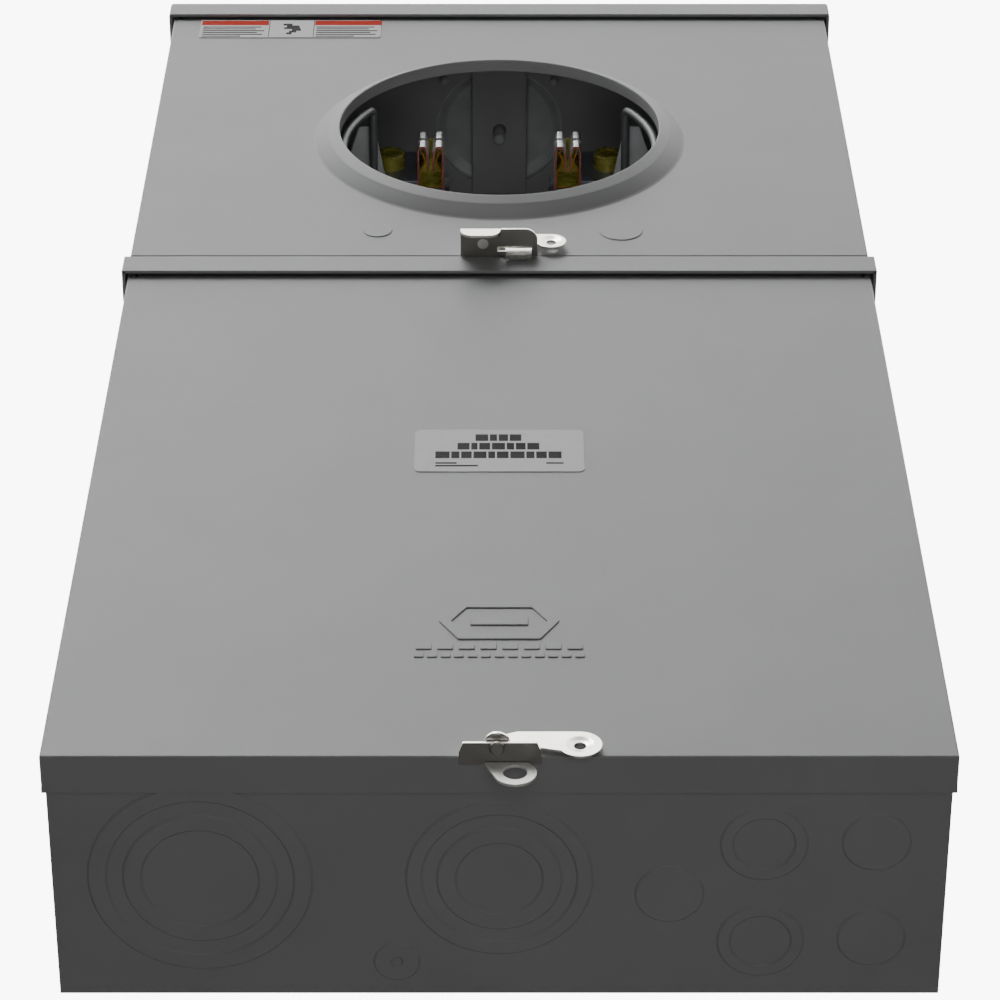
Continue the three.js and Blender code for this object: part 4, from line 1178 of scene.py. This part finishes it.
class METERSOCKET_OT_meter_latch(bpy.types.Operator):
    """Press the meter cover's latch: shelf, pin and hasp"""
    bl_idname = "metersocket.meter_latch"
    bl_label = "Meter cover latch"

    def execute(self, context):
        sheet = LATCH_SHEET
        low, high = span("meter_latch_plate")
        shelf_top = low.z + 4.4 * MM + sheet
        front, back = low.y, high.y
        bm = bmesh.new()
        corner = 6 * MM
        points = [(low.x, back), (low.x, front + 0.9 * MM),
                  *arc((high.x - corner, front + corner), corner, -90, 0, 8), (high.x, back)]
        points.insert(2, (0.5 * MM, front + 0.9 * MM))
        points.insert(3, (0.9 * MM, front))
        slot = outline(bm, [(x * MM, back - y * MM, shelf_top) for x, y in (
            (-1, 5.2), (15.8, 5.2), (15.8, 2.6), (-1, 2.6))])
        fill(bm, outline(bm, [(x, y, shelf_top) for x, y in points]) + slot, (0, 0, 1))
        thicken(bm, sheet)
        soften(bm, 0.25 * MM, 2, 60)
        bend_low = shelf_top - 0.9 * MM
        round_z = shelf_top - 2.5 * MM
        droop = [(low.x, bend_low), *arc((low.x + 6 * MM, round_z), 6 * MM, 180, 270, 8),
                 *arc((-5.5 * MM, round_z), 6 * MM, 270, 360, 8), (0.5 * MM, bend_low)]
        apron = bmesh.new()
        rim = outline(apron, [(x, front, z) for x, z in droop])
        fill(apron, rim, (0, -1, 0))
        bend = edges_where(apron, lambda at, way: at.z > shelf_top - MM and abs(way.x) > 0.9)
        for turn in (22.5, 45, 67.5, 90):
            angle = math.radians(turn)
            step = 0.9 * MM
            before = math.radians(turn - 22.5)
            bend = pull(apron, bend, (0, step * (math.cos(before) - math.cos(angle)),
                                      step * (math.sin(angle) - math.sin(before))))
        pull(apron, bend, (0, 3 * MM, 0))
        face_out(apron, (0, -1, 0))
        thicken(apron, sheet)
        merge(bm, apron)
        foot = bmesh.new()
        tongue_front = back - 2.6 * MM - sheet
        bottom = low.z
        slab(foot, (3.1 * MM, tongue_front, bottom), (15.8 * MM, back - 0.3 * MM, shelf_top - 0.2 * MM))
        gone = [f for f in foot.faces if f.normal.z > 0.5 or f.normal.y > 0.5 or abs(f.normal.x) > 0.5]
        bmesh.ops.delete(foot, geom=gone, context="FACES")
        soften(foot, 1 * MM, 4, edges=[e for e in foot.edges if len(e.link_faces) == 2])
        thicken(foot, 1 * MM)
        soften(foot, 0.15 * MM, 2, 60)
        merge(bm, foot)
        slab(bm, (low.x + 2 * MM, back - sheet, shelf_top - MM), (high.x - 2 * MM, back, shelf_top + 4 * MM))

        # Latch faces that look down take the darker stainless copy: painted shade.
        def underside(face):
            return face.normal.z < -0.8 and face.calc_center_median().z > low.z + 3 * MM

        finish_piece("meter_latch_plate_pressed", bm, ["stainless", "shaded_stainless"], "meter_cover",
                     ["meter_latch_plate"], underside)

        low, high = span("meter_latch_hasp")
        pin = middle("meter_latch_pin")
        bm = bmesh.new()
        radius = 7.3 * MM
        end = (high.x - radius, high.z - radius)
        barrel_low = shelf_top + 0.3 * MM
        points = [(pin.x, barrel_low), *arc(end, radius, 205, 450, 28), (pin.x + 8 * MM, high.z),
                  (pin.x, barrel_low + 8 * MM)]
        pressed_flag(bm, points, pin.y + 2.6 * MM, end, sheet)
        soften(bm, 0.2 * MM, 2, 60)
        barrel = bmesh.new()
        turned(barrel, (pin.x, pin.y, barrel_low), "+Z", [
            (0, 0), (3.1 * MM, 0), (3.4 * MM, 0.3 * MM), (3.4 * MM, 7.8 * MM),
            (3.1 * MM, 8.1 * MM), (0, 8.1 * MM)], 32)
        merge(bm, barrel)
        finish_piece("meter_latch_hasp_pressed", bm, ["stainless"], "meter_hasp",
                     ["meter_latch_hasp"])

        low, high = span("meter_latch_pin")
        bm = bmesh.new()
        turned(bm, (pin.x, pin.y, low.z), "+Z", [
            (0, 0), (1.6 * MM, 0), (2.6 * MM, 0.15 * MM), (3.6 * MM, 0.6 * MM), (4.3 * MM, 1.3 * MM),
            (4.7 * MM, 2.2 * MM), (4.7 * MM, 2.7 * MM), (1.7 * MM, 2.7 * MM), (1.7 * MM, high.z - low.z),
            (0, high.z - low.z)], 40)
        finish_piece("meter_latch_pin_headed", bm, ["rivet"], "meter_cover", ["meter_latch_pin"])
        return {"FINISHED"}


class METERSOCKET_OT_main_latch(bpy.types.Operator):
    """Press the breaker cover's latch: shelf, pin, hasp and padlock eye"""
    bl_idname = "metersocket.main_latch"
    bl_label = "Breaker cover latch"

    def execute(self, context):
        sheet = LATCH_SHEET
        low, high = span("main_latch_plate")
        bm = bmesh.new()
        points = [(low.x, high.y), (low.x, low.y + 4.5 * MM), (low.x + 1.6 * MM, low.y),
                  (high.x - 1.7 * MM, low.y), (high.x, low.y + 4.5 * MM), (high.x, high.y)]
        plate(bm, [(x, y, low.z) for x, y in points], (0, 0, sheet))
        slab(bm, (-15 * MM, LOWER_FACE - 1.6 * MM, low.z + sheet - 0.2 * MM),
             (-8.5 * MM, LOWER_FACE - 0.3 * MM, high.z))
        soften(bm, 0.3 * MM, 2, 50)
        # Every face of the breaker latch plate that looks down takes the darker stainless copy: painted
        # shade.
        finish_piece("main_latch_plate_pressed", bm, ["stainless", "shaded_stainless"], "breaker_cover",
                     ["main_latch_plate"], lambda face: face.normal.z < -0.8)

        low, high = span("main_latch_hasp")
        pin = middle("main_latch_pin")
        radius = 8.8 * MM
        end = (high.x - radius, low.z + radius)
        base = span("breaker_cover")[0].z + 0.1 * MM
        root = base + 1.2 * MM
        bm = bmesh.new()
        points = [(pin.x, root), (end[0] - 16 * MM, root), (end[0] - 10.5 * MM, root - 1.4 * MM),
                  *arc(end, radius, 212, 450, 28), (pin.x + 8 * MM, end[1] + radius),
                  (pin.x, root + 8.2 * MM)]
        pressed_flag(bm, points, pin.y + 2.2 * MM, end, sheet)
        soften(bm, 0.2 * MM, 2, 60)
        disc = bmesh.new()
        turned(disc, (pin.x, pin.y, base), "+Z", [
            (0, 0), (4.9 * MM, 0), (5.3 * MM, 0.4 * MM), (5.3 * MM, 1.5 * MM),
            (4.6 * MM, 2 * MM), (0, 2 * MM)], 40)
        merge(bm, disc)
        finish_piece("main_latch_hasp_pressed", bm, ["stainless"], "main_hasp",
                     ["main_latch_hasp"])

        low, high = span("main_latch_pin")
        bm = bmesh.new()
        turned(bm, (pin.x, pin.y, low.z), "+Z", [
            (0, 0), (2.4 * MM, 0.1 * MM), (3 * MM, 0.7 * MM), (3 * MM, 1.7 * MM), (1.7 * MM, 1.7 * MM),
            (1.7 * MM, high.z - low.z), (0, high.z - low.z)], 32)
        # The pin head under the breaker latch takes the darker stainless copy: painted shade.
        finish_piece("main_latch_pin_headed", bm, ["shaded_stainless"], "breaker_cover",
                     ["main_latch_pin"])

        low, high = span("main_latch_eye")
        radius = 8.5 * MM
        centre = (high.x - radius, low.z + radius)
        bm = bmesh.new()
        points = [(low.x, high.z), *arc(centre, radius, 208, 398, 28), (centre[0] + 5.3 * MM, high.z)]
        plate(bm, [(x, low.y, z) for x, z in points], (0, high.y - low.y, 0),
              [(Vector((centre[0], low.y, centre[1])), 4.75 * MM, "-Y")])
        soften(bm, 0.25 * MM, 2, 60)
        finish_piece("main_latch_eye_pressed", bm, ["rivet"], "breaker_cover",
                     ["main_latch_eye"])
        return {"FINISHED"}


# ---- Labels ----

def ink(bm, low, high, face, index, layers):
    """Add a printed block on a label and remember its finish."""
    before = set(bm.faces)
    slab(bm, (low[0], face - INK_RISE, low[1]), (high[0], face, high[1]))
    for made in set(bm.faces) - before:
        layers[made] = index


class METERSOCKET_OT_labels(bpy.types.Operator):
    """Print the two plain labels with rows of blocks"""
    bl_idname = "metersocket.labels"
    bl_label = "Labels"

    def execute(self, context):
        self.main_label()
        self.warning_label()
        return {"FINISHED"}

    def film(self, bm, low, high, corner):
        back = high.y + LABEL_STANDOFF
        points = [(x, back, z) for x, z in rounded((low.x, low.z), (high.x, high.z), corner, 8)]
        plate(bm, points, (0, self.front(low) - back, 0))

    def front(self, low):
        """Where the film's printed face lies."""
        return low.y + LABEL_STANDOFF - 0.1 * MM

    def close(self, name, bm, body, node, layers):
        for face, index in layers.items():
            face.material_index = index
        finish_piece(name, bm, ["film", "black_ink", "red_ink"],
                     body, [node])

    def main_label(self):
        low, high = span("main_label")
        bm = bmesh.new()
        self.film(bm, low, high, 3 * MM)
        face = self.front(low)
        layers = {}
        for row, (count, width) in enumerate(((4, 21.4), (7, 37.5), (10, 57.2))):
            top = high.z - (4.3 + 7.8 * row) * MM
            shares = [(1.3, 0.8, 1, 1.2, 0.7, 1.1)[(3 * row + i) % 6] for i in range(count)]
            x = -width / 2
            for share in shares:
                pitch = width * share / sum(shares)
                ink(bm, (x * MM, top - 5.9 * MM), ((x + pitch - 0.8) * MM, top), face, 1, layers)
                x += pitch
        for x, top, width in ((-28.5, 29.6, 9.5), (-28.5, 32, 19), (20.9, 29.6, 7.7)):
            z = high.z - top * MM
            ink(bm, (x * MM, z - 1.2 * MM), ((x + width) * MM, z), face, 1, layers)
        self.close("main_label_print", bm, "breaker_cover", "main_label", layers)

    def warning_label(self):
        low, high = span("warning_label")
        bm = bmesh.new()
        self.film(bm, low, high, 1 * MM)
        face = self.front(low)
        layers = {}
        width = (high.x - low.x) / MM
        for start in (0.8, 63.5):
            end = start + 37
            left = low.x + start * MM
            ink(bm, (left, high.z - 6.8 * MM), (low.x + end * MM, high.z - 0.7 * MM), face, 2, layers)
            for i in range(6):
                length = (33, 30, 35, 31, 34, 22)[i]
                z = high.z - (9 + 2.5 * i) * MM
                ink(bm, (left + MM, z - 1.1 * MM), (left + length * MM, z), face, 1, layers)
        for x, z, w, h in ((46, 5, 5, 2.4), (48, 7.4, 7, 2.4), (46.5, 9.8, 9, 2.4), (51, 12.2, 5, 2.4),
                           (49.5, 14.6, 4, 2.4), (48, 17, 3, 2.4)):
            left = low.x + x * MM
            ink(bm, (left, high.z - (z + h) * MM), (left + w * MM, high.z - z * MM), face, 1, layers)
        for x in (38.2, 62.9):
            ink(bm, (low.x + x * MM, low.z + 0.7 * MM), (low.x + (x + 0.35) * MM, high.z - 0.7 * MM),
                face, 1, layers)
        self.close("warning_label_print", bm, "meter_cover", "warning_label", layers)


# ---- Stage ----

class METERSOCKET_OT_stage(bpy.types.Operator):
    """Lay the floor, hang the lights and set the camera"""
    bl_idname = "metersocket.stage"
    bl_label = "Stage"

    def execute(self, context):
        view = context.scene.meter_socket_camera
        self.camera(context.scene, view)
        self.floor()
        self.world(context.scene)
        body = Vector((0, -0.06, 0))
        self.light("key", (-1.0, -2.7, 2.4), body, (1.8, 1.8), 12)
        self.light("under", (0.1, -1.3, -1.55), body, (0.9, 0.9), 0.37)
        self.light("rim", (-2.4, 0.1, 0.6), body, (1.2, 1.2), 5)
        self.light("back", (1.4, 2.6, 1.2), body, (1.4, 1.4), 6)
        low_in_opening = OPENING + Vector((0, -0.105 - OPENING.y, -0.088))
        self.light("inside", low_in_opening, (0, -0.02, OPENING.z + 0.05), (0.14, 0.02), 0.03, 120)
        return {"FINISHED"}

    def camera(self, scene, view):
        lens = bpy.data.cameras.new("camera")
        lens.lens = view.lens
        lens.sensor_width = 36
        lens.shift_x = 0.0007
        lens.shift_y = -0.0074
        lens.clip_start = 0.05
        camera = bpy.data.objects.new("camera", lens)
        bottom = span("breaker_cover")[0].z
        camera.location = (0, LOWER_FACE - view.reach, bottom - view.drop)
        camera.rotation_euler = (math.pi / 2 + view.climb, 0, 0)
        scene.collection.objects.link(camera)
        scene.camera = camera

    def floor(self):
        bm = bmesh.new()
        level = CAD_BOX[0][2] - 1.6
        place = Matrix.Translation((0, 0, level))
        bmesh.ops.create_grid(bm, x_segments=1, y_segments=1, size=14, matrix=place)
        mesh = bpy.data.meshes.new("floor")
        bm.to_mesh(mesh)
        bm.free()
        floor = bpy.data.objects.new("floor", mesh)
        material, tree, place = start_material("pale_studio_floor")
        cloud = noise(tree, place, 400, 2)
        paper = blend_colours(tree, cloud, "#D9D9D8", "#DEDEDD")
        lit = add(tree, "BsdfDiffuse", {"Color": paper})
        glow = add(tree, "Emission", {"Color": paper, "Strength": 2.2})
        seen_ray = add(tree, "LightPath").outputs["Is Camera Ray"]
        seen = add(tree, "Math", {0: seen_ray, 1: 0.6}, operation="MULTIPLY")
        mix = add(tree, "MixShader", {0: seen.outputs[0], 1: lit.outputs[0], 2: glow.outputs[0]})
        add(tree, "OutputMaterial", {"Surface": mix.outputs[0]})
        mesh.materials.append(material)
        bpy.context.scene.collection.objects.link(floor)

    def world(self, scene):
        world = bpy.data.worlds.new("studio")
        world.use_nodes = True
        tree = world.node_tree
        tree.nodes.clear()
        rays = add(tree, "LightPath").outputs
        way = add(tree, "TexCoord").outputs["Generated"]
        height = add(tree, "SeparateXYZ", {"Vector": way}).outputs["Z"]
        paper = (1, 1, 1, 1)
        soft = spread(tree, height, 0.01, 0.07, -0.1, 0.6)
        lit = add(tree, "Background", {"Color": paper, "Strength": soft})
        shiny = spread(tree, height, 0.05, 3.4, 0, 0.6)
        mirrored = add(tree, "Background", {"Color": paper, "Strength": shiny})
        white = add(tree, "Background", {"Color": paper, "Strength": 9.0})
        inner = add(tree, "MixShader", {0: rays["Is Glossy Ray"], 1: lit.outputs[0], 2: mirrored.outputs[0]})
        mix = add(tree, "MixShader", {0: rays["Is Camera Ray"], 1: inner.outputs[0], 2: white.outputs[0]})
        add(tree, "OutputWorld", {"Surface": mix.outputs[0]})
        scene.world = world

    def light(self, name, place, aim, size, power, spread_angle=60):
        """Hang a soft rectangular lamp that the camera doesn't see."""
        data = bpy.data.lights.new(name, "AREA")
        data.shape = "RECTANGLE"
        data.size, data.size_y = size
        data.energy = power
        data.spread = math.radians(spread_angle)
        lamp = bpy.data.objects.new(name, data)
        lamp.location = place
        lamp.visible_camera = False
        lamp.rotation_euler = (Vector(aim) - Vector(place)).to_track_quat("-Z", "Y").to_euler()
        bpy.context.scene.collection.objects.link(lamp)


OPERATORS = (
    METERSOCKET_OT_body, METERSOCKET_OT_top, METERSOCKET_OT_bottom, METERSOCKET_OT_band,
    METERSOCKET_OT_meter_cover, METERSOCKET_OT_breaker_cover, METERSOCKET_OT_hub,
    METERSOCKET_OT_jaws, METERSOCKET_OT_lugs, METERSOCKET_OT_blocks, METERSOCKET_OT_buses,
    METERSOCKET_OT_rests, METERSOCKET_OT_breaker, METERSOCKET_OT_handle,
    METERSOCKET_OT_dead_front, METERSOCKET_OT_bars, METERSOCKET_OT_meter_latch,
    METERSOCKET_OT_main_latch, METERSOCKET_OT_labels, METERSOCKET_OT_stage,
)


class METERSOCKET_PT_pieces(bpy.types.Panel):
    """List the enclosure's builders"""
    bl_label = "Meter Socket"
    bl_idname = "METERSOCKET_PT_pieces"
    bl_space_type = "VIEW_3D"
    bl_region_type = "UI"
    bl_category = "Meter Socket"

    def draw(self, context):
        for name in MeterSocketSettings.__annotations__:
            self.layout.prop(context.scene.meter_socket, name)
        for name in MeterSocketCamera.__annotations__:
            self.layout.prop(context.scene.meter_socket_camera, name)
        for operator in OPERATORS:
            self.layout.operator(operator.bl_idname)


CLASSES = (MeterSocketSettings, MeterSocketCamera, *OPERATORS, METERSOCKET_PT_pieces)


def register():
    for item in CLASSES:
        bpy.utils.register_class(item)
    bpy.types.Scene.meter_socket = bpy.props.PointerProperty(type=MeterSocketSettings)
    bpy.types.Scene.meter_socket_camera = bpy.props.PointerProperty(type=MeterSocketCamera)


def unregister():
    del bpy.types.Scene.meter_socket_camera
    del bpy.types.Scene.meter_socket
    for item in reversed(CLASSES):
        bpy.utils.unregister_class(item)


def main():
    """Build everything in order."""
    register()
    make_finishes()
    bpy.ops.metersocket.body()
    bpy.ops.metersocket.top()
    bpy.ops.metersocket.bottom()
    bpy.ops.metersocket.band()
    bpy.ops.metersocket.meter_cover()
    bpy.ops.metersocket.breaker_cover()
    bpy.ops.metersocket.hub()
    bpy.ops.metersocket.jaws()
    bpy.ops.metersocket.lugs()
    bpy.ops.metersocket.blocks()
    bpy.ops.metersocket.buses()
    bpy.ops.metersocket.rests()
    bpy.ops.metersocket.breaker()
    bpy.ops.metersocket.handle()
    bpy.ops.metersocket.dead_front()
    bpy.ops.metersocket.bars()
    bpy.ops.metersocket.meter_latch()
    bpy.ops.metersocket.main_latch()
    bpy.ops.metersocket.labels()
    bpy.ops.metersocket.stage()


if __name__ == "__main__":
    main()
